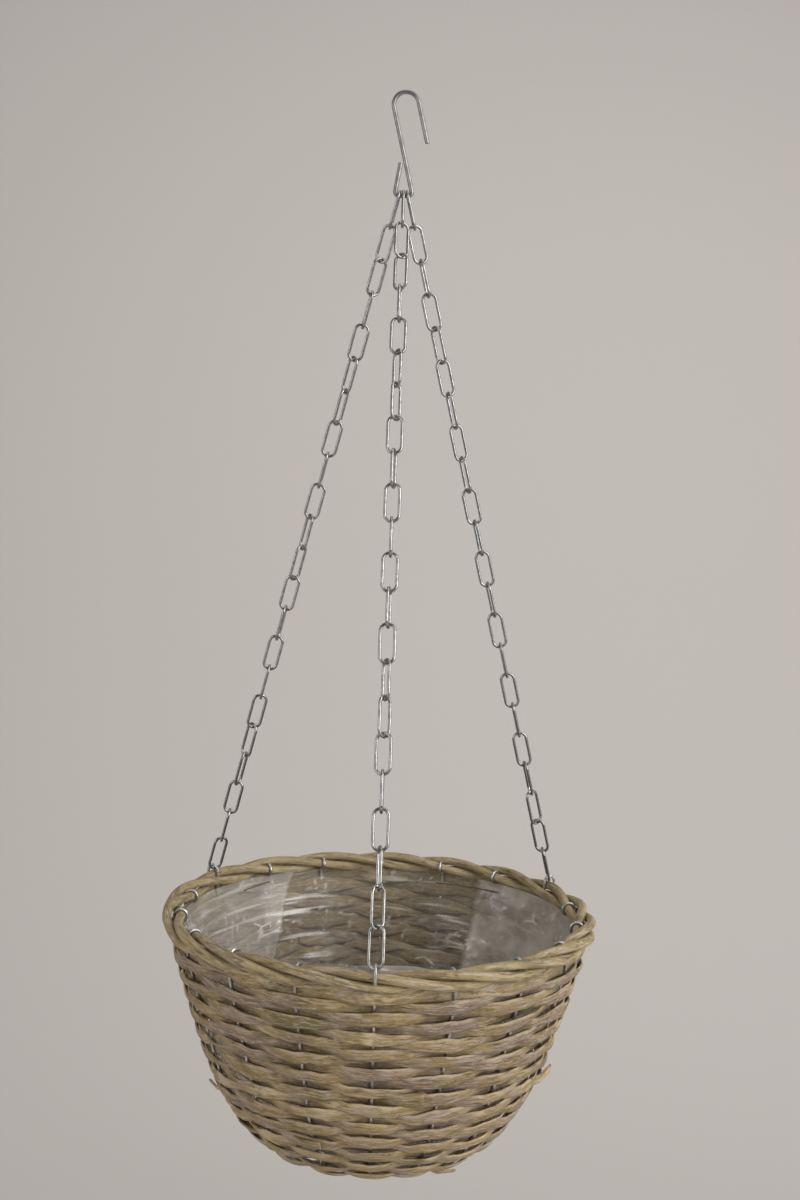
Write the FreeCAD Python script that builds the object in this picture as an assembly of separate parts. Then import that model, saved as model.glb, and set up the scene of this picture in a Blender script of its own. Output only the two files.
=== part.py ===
import FreeCAD, Part
import math
import os
from FreeCAD import Vector

# A hanging planter bowl woven from split willow over wire uprights, on three chains and one wire hook.
# Millimetres. The origin is where the hook rests on its nail, at the inside top of its upper bend.
# Z points up, the front chain comes down towards -Y, and the right-hand chain towards +X.

# Whole bowl
RIM_ACROSS = 300.0
BOWL_DEPTH = 155.0
STAKE_COUNT = 18
STAKE_WIRE = 2.0

# Rim: three whole rods laid round each other, so that at each stake one is inside and two are outside
ROD_DIAMETER = 6.3
ROD_COUNT = 3
ROD_TO_STAKE = 4.35
ROD_HALF_DROP = 3.5
ROD_OUTMOST = 5.5
ROD_STEPS_PER_STAKE = 5
ROD_BUTT_GAP_DEG = 0.6

# Woven wall: rows of split strip that pass outside one upright and inside the next
STRIP_THICKNESS = 2.0
STRIP_PRESS = 0.12
BLOCK_GAP = 0.25
CROSSING_SHIFT = 0.15
STAKE_CLEARANCE = 0.15
SEAT_GAP = 0.4
WALL_ROWS = 14
HEEL_ROWS = 10
SHOULDER_RADIUS = 30.0
SHOULDER_LEAN_DEG = 15.0
UPPER_LEAN_DEG = 19.5
LOWER_BEND_RADIUS = 140.0
LOWER_LEAN_DEG = 42.5
HEEL_RADIUS = 26.0
HEEL_END_LEAN_DEG = 75.0
SPOKE_START_RADIUS = 16.0

# Clear film liner
LINER_THICKNESS = 0.6
LINER_DROP = 1.5

# Ends of the uprights: a plain stake curls in over the inner rod, a chain stake arches out over the top rod
CURL_SWEEP_DEG = 250.0
ARCH_RISE = 2.8
ARCH_TUCK_DEG = 48.0

# Chains
LINK_WIRE = 2.0
LINK_INNER_LENGTH = 23.3
LINK_INNER_WIDTH = 7.3
LINK_PLAY = 0.3
LINK_BUTT_GAP = 0.1
LINKS_PER_CHAIN = 22
TOP_LINK_GAP = 0.15

# Hook
HOOK_WIRE = 3.0
HOOK_HEIGHT = 72.0
HOOK_BEND_RADIUS = 8.5
EYE_CORNER_RADIUS = 2.6
HOOK_FREE_LEG = 28.0
HOOK_RETURN_LEG = 19.0
HOOK_RETURN_LEAN_DEG = 9.0

# Where each chain is fastened, in degrees round the rim from the front towards +X, and its upright's number
CHAIN_STAKES = {"front": 0, "right": 6, "left": 12}

# Each link's turn about its chain's line, in degrees. At 0 the flat of the link faces along X.
LINK_TURNS_DEG = {
    "front": (0, 62, 124, 186, 270, 332, 394, 456, 554, 638, 720,
              810, 910, 992, 1056, 1122, 1186, 1262, 1352, 1428, 1490, 1552),
    "left": (0, 118, 236, 352, 440, 502, 564, 628, 720, 810, 872,
             934, 996, 1084, 1168, 1256, 1330, 1394, 1456, 1532, 1616, 1678),
    "right": (0, 72, 172, 262, 326, 426, 524, 602, 704, 804, 892,
              988, 1072, 1168, 1260, 1350, 1440, 1530, 1612, 1674, 1736, 1798),
}

# Worked out from the sizes above
LEVEL_DEG = 90
STAKE_PITCH_DEG = 360.0 / STAKE_COUNT
STAKE_RADIUS = STAKE_WIRE / 2
ROD_RADIUS = ROD_DIAMETER / 2
STRIP_SWING = STAKE_RADIUS + STAKE_CLEARANCE + STRIP_THICKNESS / 2
WEAVE_HALF = STRIP_SWING + STRIP_THICKNESS / 2
RIM_RADIUS = RIM_ACROSS / 2 - ROD_OUTMOST - ROD_RADIUS
ROD_TURN = math.radians(360.0 / ROD_COUNT)
ROD_RISE = ROD_HALF_DROP / math.sin(ROD_TURN / 2)
LINK_RADIUS = LINK_WIRE / 2
LINK_BEND_RADIUS = (LINK_INNER_WIDTH + LINK_WIRE) / 2
LINK_REACH = (LINK_INNER_LENGTH + LINK_WIRE) / 2
HOOK_RADIUS = HOOK_WIRE / 2
EYE_HEIGHT = HOOK_WIRE - HOOK_HEIGHT + HOOK_RADIUS
HOOK_TO_LINK = HOOK_RADIUS + LINK_RADIUS + LINK_PLAY
LINK_TO_LINK = LINK_WIRE + LINK_PLAY
ARCH_TO_LINK = ROD_TO_STAKE - STAKE_RADIUS - LINK_RADIUS - LINK_PLAY
CHAIN_LENGTH = LINKS_PER_CHAIN * 2 * LINK_REACH - (LINKS_PER_CHAIN - 1) * LINK_TO_LINK
CHAIN_SPAN = CHAIN_LENGTH + ARCH_TO_LINK - HOOK_TO_LINK
ARCH_CENTRE_RADIUS = RIM_RADIUS + ROD_TO_STAKE
TOP_LINK_LEAN = HOOK_TO_LINK * ARCH_CENTRE_RADIUS / CHAIN_SPAN
TOP_LINK_PITCH = LINK_WIRE + TOP_LINK_GAP + TOP_LINK_LEAN
EYE_FLAT = 2 * TOP_LINK_PITCH
ARCH_CENTRE_ABOVE_RIM = ROD_HALF_DROP + ARCH_RISE
RIM_Z = EYE_HEIGHT - math.sqrt(CHAIN_SPAN ** 2 - ARCH_CENTRE_RADIUS ** 2) - ARCH_CENTRE_ABOVE_RIM
WALL_TOP_Z = RIM_Z - ROD_RISE - ROD_RADIUS - SEAT_GAP
BASE_MID_Z = RIM_Z - BOWL_DEPTH + WEAVE_HALF


def round_point(radius, degrees, z):
    """A point at a radius from the bowl's axis, at an angle from the front towards +X."""
    angle = math.radians(degrees)
    return Vector(radius * math.sin(angle), -radius * math.cos(angle), z)


def turned(shape, degrees):
    """A copy of a shape drawn in the front half plane, carried round the bowl's axis."""
    copy = shape.copy()
    copy.rotate(Vector(0, 0, 0), Vector(0, 0, 1), degrees)
    return copy


def flat_point(radius, z):
    """A point of a profile, drawn in the half plane that faces the front."""
    return Vector(0, -radius, z)


def arc_edge(centre_r, centre_z, radius, start_deg, end_deg):
    """An arc in the front half plane. Angles run from outwards (0) over upwards (90)."""
    points = []
    for share in (0, 0.5, 1):
        angle = math.radians(start_deg + share * (end_deg - start_deg))
        points.append(flat_point(centre_r + radius * math.cos(angle), centre_z + radius * math.sin(angle)))
    return Part.Arc(*points).toShape()


def line_edge(start, end):
    return Part.LineSegment(start, end).toShape()


def pipe(edges, radius, start, direction):
    """A round wire of one radius along tangent edges that begin at start."""
    path = Part.Wire(edges)
    ring = Part.Wire(Part.Circle(start, direction, radius).toShape())
    return path.makePipeShell([ring], True, False)


def turned_about_axis(edges):
    """A solid of revolution about Z from a closed profile."""
    face = Part.Face(Part.Wire(edges))
    return face.revolve(Vector(0, 0, 0), Vector(0, 0, 1), 360)


class BowlLine:
    """The middle line of the woven wall: a shoulder, a long easy arc, a rounder one, the heel and a flat bottom.

    lean is the angle from upright. Each arc is (centre radius, centre height, bend radius, lean from, lean to).
    """

    def __init__(self):
        bends = [(SHOULDER_RADIUS, 0, SHOULDER_LEAN_DEG), (LOWER_BEND_RADIUS, UPPER_LEAN_DEG, LOWER_LEAN_DEG),
                 (HEEL_RADIUS, LOWER_LEAN_DEG, LEVEL_DEG)]
        drop = WALL_TOP_Z - BASE_MID_Z - sum(bend * self.rise(start, end) for bend, start, end in bends)
        shoulder = (RIM_RADIUS - SHOULDER_RADIUS, WALL_TOP_Z, SHOULDER_RADIUS, 0, SHOULDER_LEAN_DEG)
        upper_bend = drop / self.rise(SHOULDER_LEAN_DEG, UPPER_LEAN_DEG)
        upper = self.next_arc(shoulder, upper_bend, UPPER_LEAN_DEG)
        lower = self.next_arc(upper, LOWER_BEND_RADIUS, LOWER_LEAN_DEG)
        self.arcs = [shoulder, upper, lower, self.next_arc(lower, HEEL_RADIUS, LEVEL_DEG)]

    @staticmethod
    def rise(start, end):
        """How far an arc of bend radius 1 drops between two leans."""
        return math.sin(math.radians(end)) - math.sin(math.radians(start))

    def point(self, arc, lean, offset=0):
        centre_r, centre_z, bend, _, _ = arc
        angle = math.radians(lean)
        reach = bend + offset
        return centre_r + reach * math.cos(angle), centre_z - reach * math.sin(angle)

    def next_arc(self, arc, bend, lean_to):
        lean = arc[4]
        r, z = self.point(arc, lean)
        angle = math.radians(lean)
        return (r - bend * math.cos(angle), z + bend * math.sin(angle), bend, lean, lean_to)

    def edges(self, offset, lean_from=0, lean_to=LEVEL_DEG):
        """The line from the top down, moved outwards by offset, between two leans."""
        made = []
        for arc in self.arcs:
            start, end = max(arc[3], lean_from), min(arc[4], lean_to)
            if end > start:
                made.append(arc_edge(arc[0], arc[1], arc[2] + offset, -start, -end))
        return made

    def run_to(self, lean):
        """The length of the line from its top down to a lean."""
        return sum(math.radians(min(arc[4], lean) - arc[3]) * arc[2] for arc in self.arcs if arc[3] < lean)

    def lean_at(self, run):
        """The lean at a length down the line."""
        for arc in self.arcs:
            bend_deg = math.degrees(run / arc[2])
            if bend_deg <= arc[4] - arc[3]:
                return arc[3] + bend_deg
            run -= math.radians(arc[4] - arc[3]) * arc[2]
        return LEVEL_DEG

    def at(self, lean, offset):
        for arc in self.arcs:
            if arc[3] <= lean <= arc[4]:
                return flat_point(*self.point(arc, lean, offset))


BOWL = BowlLine()


def shell_profile(outer, inner, lean_from, lean_to):
    """A closed outline between two parallel copies of the bowl's line."""
    edges = BOWL.edges(outer, lean_from, lean_to) + BOWL.edges(inner, lean_from, lean_to)
    edges.append(line_edge(BOWL.at(lean_from, outer), BOWL.at(lean_from, inner)))
    edges.append(line_edge(BOWL.at(lean_to, outer), BOWL.at(lean_to, inner)))
    return Part.__sortEdges__(edges)


def disc_profile(outer, inner, lean_from):
    """The outline of a bottom that closes the bowl in to its axis."""
    low, high = BOWL.at(LEVEL_DEG, outer), BOWL.at(LEVEL_DEG, inner)
    low_axis, high_axis = flat_point(0, low.z), flat_point(0, high.z)
    edges = BOWL.edges(outer, lean_from) + BOWL.edges(inner, lean_from)
    edges.append(line_edge(BOWL.at(lean_from, outer), BOWL.at(lean_from, inner)))
    edges += [line_edge(low, low_axis), line_edge(low_axis, high_axis), line_edge(high_axis, high)]
    return Part.__sortEdges__(edges)


def upright_run(top_z):
    """The path that all uprights share: out along the base, up the wall and straight up to top_z."""
    start = flat_point(SPOKE_START_RADIUS, BASE_MID_Z)
    edges = [line_edge(start, BOWL.at(LEVEL_DEG, 0))]
    edges += reversed(BOWL.edges(0))
    edges.append(line_edge(BOWL.at(0, 0), flat_point(RIM_RADIUS, top_z)))
    return start, Part.__sortEdges__(edges)


def plain_upright():
    """An upright whose top curls in over the rim's inner rod."""
    start, edges = upright_run(RIM_Z)
    edges.append(arc_edge(RIM_RADIUS - ROD_TO_STAKE, RIM_Z, ROD_TO_STAKE, 0, CURL_SWEEP_DEG))
    return pipe(edges, STAKE_RADIUS, start, Vector(0, -1, 0))


def chain_upright():
    """An upright whose top arches out over the rim's top rod and holds a chain's last link."""
    centre_z = RIM_Z + ARCH_CENTRE_ABOVE_RIM
    rod_z = RIM_Z + ROD_HALF_DROP
    outside = ARCH_CENTRE_RADIUS + ROD_TO_STAKE
    start, edges = upright_run(centre_z)
    edges.append(arc_edge(ARCH_CENTRE_RADIUS, centre_z, ROD_TO_STAKE, 180, 0))
    edges.append(line_edge(flat_point(outside, centre_z), flat_point(outside, rod_z)))
    edges.append(arc_edge(ARCH_CENTRE_RADIUS, rod_z, ROD_TO_STAKE, 0, -ARCH_TUCK_DEG))
    return pipe(edges, STAKE_RADIUS, start, Vector(0, -1, 0))


def stake_channels():
    """The way that each upright takes through the weave, a little wider than the wire."""
    start, edges = upright_run(RIM_Z)
    channel = pipe(edges, STAKE_RADIUS + STAKE_CLEARANCE, start, Vector(0, -1, 0))
    return [turned(channel, i * STAKE_PITCH_DEG) for i in range(STAKE_COUNT)]


def rod_place(stakes):
    """Where a rod lies in the rim's section, so many stakes after it passed inside one."""
    phase = math.pi - ROD_TURN * stakes
    inner = -ROD_TO_STAKE
    swing = (ROD_OUTMOST - inner) / 2
    middle = (ROD_OUTMOST + inner) / 2
    half_turn = math.cos(ROD_TURN / 2)
    doubled = math.cos(ROD_TURN)
    squeeze = (ROD_TO_STAKE - middle - swing * half_turn) / (doubled - 1)
    out = middle + swing * math.cos(phase) + squeeze * (math.cos(2 * phase) - 1)
    return out, ROD_RISE * math.sin(phase)


def rod_centre(first_stake, stakes):
    out, up = rod_place(stakes)
    return round_point(RIM_RADIUS + out, (first_stake + stakes) * STAKE_PITCH_DEG, RIM_Z + up)


def rod_section():
    """A rod's round outline in three equal arcs, whose ends keep the rings of a loft in step."""
    turns = [math.radians(60 * i) for i in range(7)]
    points = [Vector(ROD_RADIUS * math.cos(turn), ROD_RADIUS * math.sin(turn), 0) for turn in turns]
    return Part.Wire([Part.Arc(*points[i:i + 3]).toShape() for i in (0, 2, 4)])


def rim_rod(first_stake):
    """One whole willow rod round the rim, from its cut end behind a stake to the other end beside it."""
    gap = ROD_BUTT_GAP_DEG / STAKE_PITCH_DEG
    count = STAKE_COUNT * ROD_STEPS_PER_STAKE
    step = (STAKE_COUNT - gap) / count
    near = step / ROD_STEPS_PER_STAKE
    rings = []
    for i in range(count + 1):
        stakes = gap / 2 + i * step
        along = rod_centre(first_stake, stakes + near) - rod_centre(first_stake, stakes - near)
        frame = FreeCAD.Rotation(Vector(0, 0, 1).cross(along), Vector(0, 0, 1), along, "ZYX")
        ring = rod_section()
        ring.Placement = FreeCAD.Placement(rod_centre(first_stake, stakes), frame)
        rings.append(ring)
    return Part.makeLoft(rings, True, True)


def plain_link():
    """One chain link, its long way along Z and its flat in XZ, with its butt joint in the middle of a leg."""
    bend_z = LINK_REACH - LINK_BEND_RADIUS
    side = LINK_BEND_RADIUS
    half_gap = LINK_BUTT_GAP / 2
    start = Vector(side, 0, half_gap)
    edges = [
        line_edge(start, Vector(side, 0, bend_z)),
        Part.Arc(Vector(side, 0, bend_z), Vector(0, 0, LINK_REACH), Vector(-side, 0, bend_z)).toShape(),
        line_edge(Vector(-side, 0, bend_z), Vector(-side, 0, -bend_z)),
        Part.Arc(Vector(-side, 0, -bend_z), Vector(0, 0, -LINK_REACH), Vector(side, 0, -bend_z)).toShape(),
        line_edge(Vector(side, 0, -bend_z), Vector(side, 0, -half_gap)),
    ]
    return pipe(edges, LINK_RADIUS, start, Vector(0, 0, 1))


class ChainLine:
    """The straight line that one taut chain hangs along, from the hook's eye down to its arch on the rim."""

    def __init__(self, name):
        self.stake_deg = CHAIN_STAKES[name] * STAKE_PITCH_DEG
        side = {"front": 0, "right": 1, "left": -1}[name]
        self.top = Vector(side * TOP_LINK_PITCH, 0, EYE_HEIGHT)
        arch_z = RIM_Z + ARCH_CENTRE_ABOVE_RIM
        self.bottom = round_point(ARCH_CENTRE_RADIUS, self.stake_deg, arch_z)
        self.down = (self.bottom - self.top).normalize()
        span = (self.bottom - self.top).Length
        first = LINK_REACH - HOOK_TO_LINK
        last = span - ARCH_TO_LINK - LINK_REACH
        self.first = first
        self.pitch = (last - first) / (LINKS_PER_CHAIN - 1)

    def link_middle(self, number):
        return self.top + self.down * (self.first + (number - 1) * self.pitch)

    def link_frame(self, turn_deg):
        """The turn that lays a link along the chain, its flat turned from Y towards X by turn_deg."""
        y_way = Vector(0, 1, 0) - self.down * self.down.y
        y_way.normalize()
        x_way = y_way.cross(self.down * -1)
        angle = math.radians(turn_deg)
        flat = y_way * math.cos(angle) + x_way * math.sin(angle)
        up = self.down * -1
        return FreeCAD.Rotation(flat, up.cross(flat), up, "ZXY")


def chain_links(name, link):
    """Every link of one chain, in its place."""
    line = ChainLine(name)
    made = []
    for number, turn in enumerate(LINK_TURNS_DEG[name], start=1):
        copy = link.copy()
        copy.Placement = FreeCAD.Placement(line.link_middle(number), line.link_frame(turn))
        made.append(copy)
    return made


def link_nodes(name, link):
    """A chain's links as nodes: the top and bottom link alone, and the others two by two."""
    links = chain_links(name, link)
    nodes = {f"{name}_link_01": links[:1], f"{name}_link_{LINKS_PER_CHAIN:02d}": links[-1:]}
    for first in range(2, LINKS_PER_CHAIN, 2):
        nodes[f"{name}_links_{first:02d}_{first + 1:02d}"] = links[first - 1:first + 1]
    return nodes


def hook_point(x, z):
    return Vector(x, 0, z)


def hook_arc(centre_x, centre_z, radius, start_deg, end_deg):
    points = []
    for share in (0, 0.5, 1):
        angle = math.radians(start_deg + share * (end_deg - start_deg))
        points.append(hook_point(centre_x + radius * math.cos(angle), centre_z + radius * math.sin(angle)))
    return Part.Arc(*points).toShape(), points[0], points[2]


def s_hook():
    """One wire: an open upper bend, a slanting leg and a flat-bottomed eye whose return leg closes on the leg."""
    bend_z = HOOK_RADIUS - HOOK_BEND_RADIUS
    corner_x, corner_z = EYE_FLAT / 2, EYE_HEIGHT + EYE_CORNER_RADIUS
    across, down = corner_x, corner_z - bend_z
    swerve = (HOOK_BEND_RADIUS + EYE_CORNER_RADIUS) / math.hypot(across, down)
    heading = math.atan2(down, across) + math.asin(swerve)
    slant_deg = math.degrees(heading) + 90
    bend, bend_start, bend_end = hook_arc(0, bend_z, HOOK_BEND_RADIUS, slant_deg, slant_deg + 180)
    slope = Vector(math.cos(heading), 0, math.sin(heading))
    tip = bend_start + slope * HOOK_FREE_LEG
    right, right_start, right_end = hook_arc(corner_x, corner_z, EYE_CORNER_RADIUS, slant_deg, -90)
    return_deg = HOOK_RETURN_LEAN_DEG
    left, left_start, left_end = hook_arc(-corner_x, corner_z, EYE_CORNER_RADIUS, -90, -180 - return_deg)
    closing = Vector(math.sin(math.radians(return_deg)), 0, math.cos(math.radians(return_deg)))
    end = left_end + closing * HOOK_RETURN_LEG
    edges = [
        line_edge(tip, bend_start), bend, line_edge(bend_end, right_start), right,
        line_edge(right_end, left_start), left, line_edge(left_end, end),
    ]
    return pipe(edges, HOOK_RADIUS, tip, slope)


def row_sag(top, bottom):
    """How far the middle of a flat strip falls short of the bowl's curved line between two lengths down it."""
    ends = [BOWL.at(BOWL.lean_at(run), 0) for run in (top, bottom)]
    middle = BOWL.at(BOWL.lean_at((top + bottom) / 2), 0)
    return ((ends[0] + ends[1]) * 0.5 - middle).Length


def strip_edge(run, row, offset, outside):
    """One long edge of a row of strip: an arc past each upright, in turn outside and inside of it."""
    lean = BOWL.lean_at(run)
    crossing = CROSSING_SHIFT if row % 2 else -CROSSING_SHIFT
    edges = []
    for stake in range(STAKE_COUNT):
        reach = -STRIP_SWING if (stake + row) % 2 else outside
        points = []
        for step, swing in ((-0.5, crossing), (0, reach), (0.5, crossing)):
            place = BOWL.at(lean, swing + offset)
            points.append(round_point(-place.y, (stake + step) * STAKE_PITCH_DEG, place.z))
        edges.append(Part.Arc(*points).toShape())
    return edges


def woven_row(row, top, bottom):
    """One row of strip round the bowl, a closed ring between its four long edges."""
    half = STRIP_THICKNESS / 2
    outside = STRIP_SWING + row_sag(top, bottom)
    corners = [(top, half), (bottom, half), (bottom, -half), (top, -half)]
    corners = [strip_edge(run, row, offset, outside) for run, offset in corners]
    faces = []
    for here, there in zip(corners, corners[1:] + corners[:1]):
        faces += [Part.makeRuledSurface(a, b) for a, b in zip(here, there)]
    shell = Part.makeShell(faces)
    shell.sewShape()
    return Part.makeSolid(Part.Shell(shell.Faces))


def woven_base():
    """The bottom of the bowl as a disc, with a channel through it for each upright."""
    outline = disc_profile(WEAVE_HALF, -WEAVE_HALF, HEEL_END_LEAN_DEG)
    return turned_about_axis(outline).cut(stake_channels())


def woven_block(first, count):
    """Rows of strip pressed together where they cross between the uprights, as one solid."""
    pitch = BOWL.run_to(HEEL_END_LEAN_DEG) / (WALL_ROWS + HEEL_ROWS)
    rows = []
    for row in range(first, first + count):
        top = row * pitch + (BLOCK_GAP if row == first else -STRIP_PRESS) / 2
        bottom = (row + 1) * pitch - (BLOCK_GAP if row == first + count - 1 else -STRIP_PRESS) / 2
        rows.append(woven_row(row, top, bottom))
    return rows[0].multiFuse(rows[1:]).Solids


def woven_parts():
    """The weave as the rows of its wall, the rows of its rounded heel, and its base."""
    wall, heel = woven_block(0, WALL_ROWS), woven_block(WALL_ROWS, HEEL_ROWS)
    return {"woven_wall": wall, "woven_heel": heel, "woven_base": [woven_base()]}


def film_liner():
    """The clear film, close inside the weave, open at the top."""
    outer = -WEAVE_HALF - SEAT_GAP
    inner = outer - LINER_THICKNESS
    top_lean = math.degrees(math.asin(LINER_DROP / SHOULDER_RADIUS))
    return turned_about_axis(disc_profile(outer, inner, top_lean))


def build():
    """Every node of the object by name, each a list of solids."""
    nodes = {"s_hook": [s_hook()], "film_liner": [film_liner()], **woven_parts()}
    for i in range(ROD_COUNT):
        nodes[f"rim_rod_{i + 1}"] = [rim_rod(i)]
    plain, holding = plain_upright(), chain_upright()
    chain_stakes = CHAIN_STAKES.values()
    others = [i for i in range(STAKE_COUNT) if i not in chain_stakes]
    nodes["upright_wires"] = [turned(plain, i * STAKE_PITCH_DEG) for i in others]
    for name, stake in CHAIN_STAKES.items():
        nodes[f"{name}_chain_upright"] = [turned(holding, stake * STAKE_PITCH_DEG)]
    link = plain_link()
    for name in CHAIN_STAKES:
        nodes.update(link_nodes(name, link))
    return nodes


def main():
    os.makedirs("parts", exist_ok=True)
    for name, solids in build().items():
        shape = solids[0] if len(solids) == 1 else Part.makeCompound(solids)
        shape.exportStep(f"parts/{name}.step")


if __name__ == "__main__":
    main()
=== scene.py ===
import logging
import math
from dataclasses import dataclass, field
from enum import Enum

import bpy
import numpy as np
from mathutils import Euler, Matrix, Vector


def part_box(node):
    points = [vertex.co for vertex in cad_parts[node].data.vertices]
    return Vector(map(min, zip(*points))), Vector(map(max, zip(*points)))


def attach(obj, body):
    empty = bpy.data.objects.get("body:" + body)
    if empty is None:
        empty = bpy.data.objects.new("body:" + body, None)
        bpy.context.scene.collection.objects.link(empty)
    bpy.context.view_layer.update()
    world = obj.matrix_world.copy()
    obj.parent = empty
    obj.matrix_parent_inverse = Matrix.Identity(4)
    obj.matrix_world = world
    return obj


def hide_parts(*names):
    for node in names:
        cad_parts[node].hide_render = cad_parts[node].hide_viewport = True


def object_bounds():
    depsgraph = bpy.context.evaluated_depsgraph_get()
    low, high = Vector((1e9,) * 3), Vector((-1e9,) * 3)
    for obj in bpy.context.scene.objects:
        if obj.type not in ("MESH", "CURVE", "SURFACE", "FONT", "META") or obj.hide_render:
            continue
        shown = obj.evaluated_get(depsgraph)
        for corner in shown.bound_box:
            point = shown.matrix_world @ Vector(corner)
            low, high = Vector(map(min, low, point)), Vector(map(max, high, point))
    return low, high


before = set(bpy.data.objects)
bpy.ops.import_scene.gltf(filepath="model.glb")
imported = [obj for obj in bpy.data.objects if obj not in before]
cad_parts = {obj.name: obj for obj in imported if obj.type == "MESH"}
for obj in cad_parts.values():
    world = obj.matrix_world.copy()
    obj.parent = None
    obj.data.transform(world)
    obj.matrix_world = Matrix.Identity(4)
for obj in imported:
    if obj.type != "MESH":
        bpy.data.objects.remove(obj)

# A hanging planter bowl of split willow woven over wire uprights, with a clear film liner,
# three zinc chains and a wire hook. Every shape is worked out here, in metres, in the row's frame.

log = logging.getLogger("hanging_bowl")
logging.basicConfig(level=logging.INFO, format="%(message)s")

MM = 0.001
CAD_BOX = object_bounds()
STAKES = 18
STAKE_PITCH = 2 * math.pi / STAKES
RIM_RADIUS = 141.35 * MM
ROD_TO_STAKE = 4.35 * MM
ROD_OUTMOST = 5.5 * MM
ROD_HALF_DROP = 3.5 * MM
ROD_RADIUS = 3.15 * MM
WEAVE_HALF = 3.15 * MM
HEEL_END_LEAN = math.radians(75)


class Cut(Enum):
    """How a piece of willow is cut: split flat for the weave, or left whole for the rim."""

    SPLIT = "split"
    WHOLE = "whole"


def rod_rise() -> float:
    """How far a rim rod's middle swings above and below the rim's middle, in metres."""
    return ROD_HALF_DROP / math.sin(math.pi / 3)


def rim_height() -> float:
    """The height of the rim's middle plane, from the highest point of a rim rod in the frame."""
    low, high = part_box("rim_rod_1")
    return (low[2] + high[2]) / 2


def ring_points(radius: np.ndarray, angle: np.ndarray, height: np.ndarray) -> np.ndarray:
    """Points round the bowl's axis.

    In words: x is radius times sine, y is minus radius times cosine, so angle 0 faces the front.

    Args:
        radius: distance from the axis.
        angle: turn from the front towards +X, in radians.
        height: z.

    Returns:
        An array with one more axis of length 3.
    """
    radius, angle, height = np.broadcast_arrays(radius, angle, height)
    return np.stack([radius * np.sin(angle), -radius * np.cos(angle), height], axis=-1)


def wander(rng: np.random.Generator, angle: np.ndarray, waves: int, rows: int) -> np.ndarray:
    """Smooth noise that closes on itself round the bowl, about -1 to 1.

    In words: a sum of sines of 1 to so many waves per turn, each with a random size and phase.

    Args:
        rng: the seeded source of numbers.
        angle: angles round the bowl, one axis.
        waves: the finest number of waves per turn.
        rows: how many separate lines of noise.

    Returns:
        An array of shape (rows, len(angle)).
    """
    turns = np.arange(1, waves + 1)
    size = rng.normal(size=(rows, waves)) / np.sqrt(waves)
    phase = rng.uniform(0, 2 * math.pi, size=(rows, waves))
    return np.einsum("rw,rwn->rn", size, np.sin(turns[None, :, None] * angle[None, None, :] + phase[:, :, None]))


def kinks(rng: np.random.Generator, angle: np.ndarray, rows: int) -> np.ndarray:
    """Noise that bends only at the uprights and half way between them, as stiff strips do.

    In words: a random number at each upright and each half way, joined by straight lines round the bowl.

    Args:
        rng: the seeded source of numbers.
        angle: angles round the bowl, one axis.
        rows: how many separate lines of noise.

    Returns:
        An array of shape (rows, len(angle)), about -1 to 1.
    """
    marks = np.arange(2 * STAKES) * STAKE_PITCH / 2
    values = np.clip(rng.normal(size=(rows, len(marks))) * 0.6, -1.2, 1.2)
    return np.stack([np.interp(angle, marks, line, period=2 * math.pi) for line in values])


def apart(angle: np.ndarray, degrees: float) -> np.ndarray:
    """How far angles lie from a place round the bowl, the short way round, in radians."""
    return np.angle(np.exp(1j * (angle - math.radians(degrees))))


def closed_section(count: int, outer: float, inner: float) -> np.ndarray:
    """The outline of a split strip: crowned outside, flatter inside.

    In words: across is a cosine and thickness a sine, pushed out a little so that the edges are blunt.

    Args:
        count: points round the outline.
        outer: height of the crown as a share of the whole thickness.
        inner: depth of the inner face as a share of the whole thickness.

    Returns:
        An array (count, 2) of across (-1 to 1) and thickness.
    """
    turn = np.linspace(0, 2 * math.pi, count, endpoint=False)
    across = np.sign(np.cos(turn)) * np.abs(np.cos(turn)) ** 0.7
    rise = np.where(np.sin(turn) > 0, outer, inner) * np.sign(np.sin(turn)) * np.abs(np.sin(turn)) ** 0.7
    return np.stack([across, rise], axis=1)


@dataclass
class SkinData:
    """A mesh as arrays: points, four-cornered faces, a UV per corner and numbers per point."""

    points: np.ndarray
    faces: np.ndarray
    uv: np.ndarray
    numbers: dict = field(default_factory=dict)

    def piece(self, name: str, material: bpy.types.Material) -> bpy.types.Object:
        """Puts the arrays into a new mesh object at the origin.

        Args:
            name: the piece's name.
            material: its finish.

        Returns:
            The linked object.
        """
        mesh = bpy.data.meshes.new(name)
        mesh.vertices.add(len(self.points))
        mesh.vertices.foreach_set("co", self.points.astype(np.float32).ravel())
        mesh.loops.add(self.faces.size)
        mesh.loops.foreach_set("vertex_index", self.faces.astype(np.int32).ravel())
        mesh.polygons.add(len(self.faces))
        mesh.polygons.foreach_set("loop_start", np.arange(0, self.faces.size, 4, dtype=np.int32))
        mesh.update(calc_edges=True)
        layer = mesh.uv_layers.new(name="grain_uv")
        layer.data.foreach_set("uv", self.uv.astype(np.float32).ravel())
        for key, values in self.numbers.items():
            mesh.attributes.new(key, "FLOAT", "POINT").data.foreach_set("value", values.astype(np.float32).ravel())
        mesh.shade_smooth()
        mesh.validate()
        mesh.materials.append(material)
        made = bpy.data.objects.new(name, mesh)
        bpy.context.scene.collection.objects.link(made)
        return made


def joined(parts: list[SkinData]) -> SkinData:
    """Several meshes as one, in their order.

    Args:
        parts: the meshes, all with the same names of numbers.

    Returns:
        The one mesh.
    """
    shifts = np.cumsum([0] + [len(part.points) for part in parts[:-1]])
    return SkinData(
        np.concatenate([part.points for part in parts]),
        np.concatenate([part.faces + shift for part, shift in zip(parts, shifts)]),
        np.concatenate([part.uv for part in parts]),
        {key: np.concatenate([part.numbers[key] for part in parts]) for key in parts[0].numbers},
    )


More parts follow.
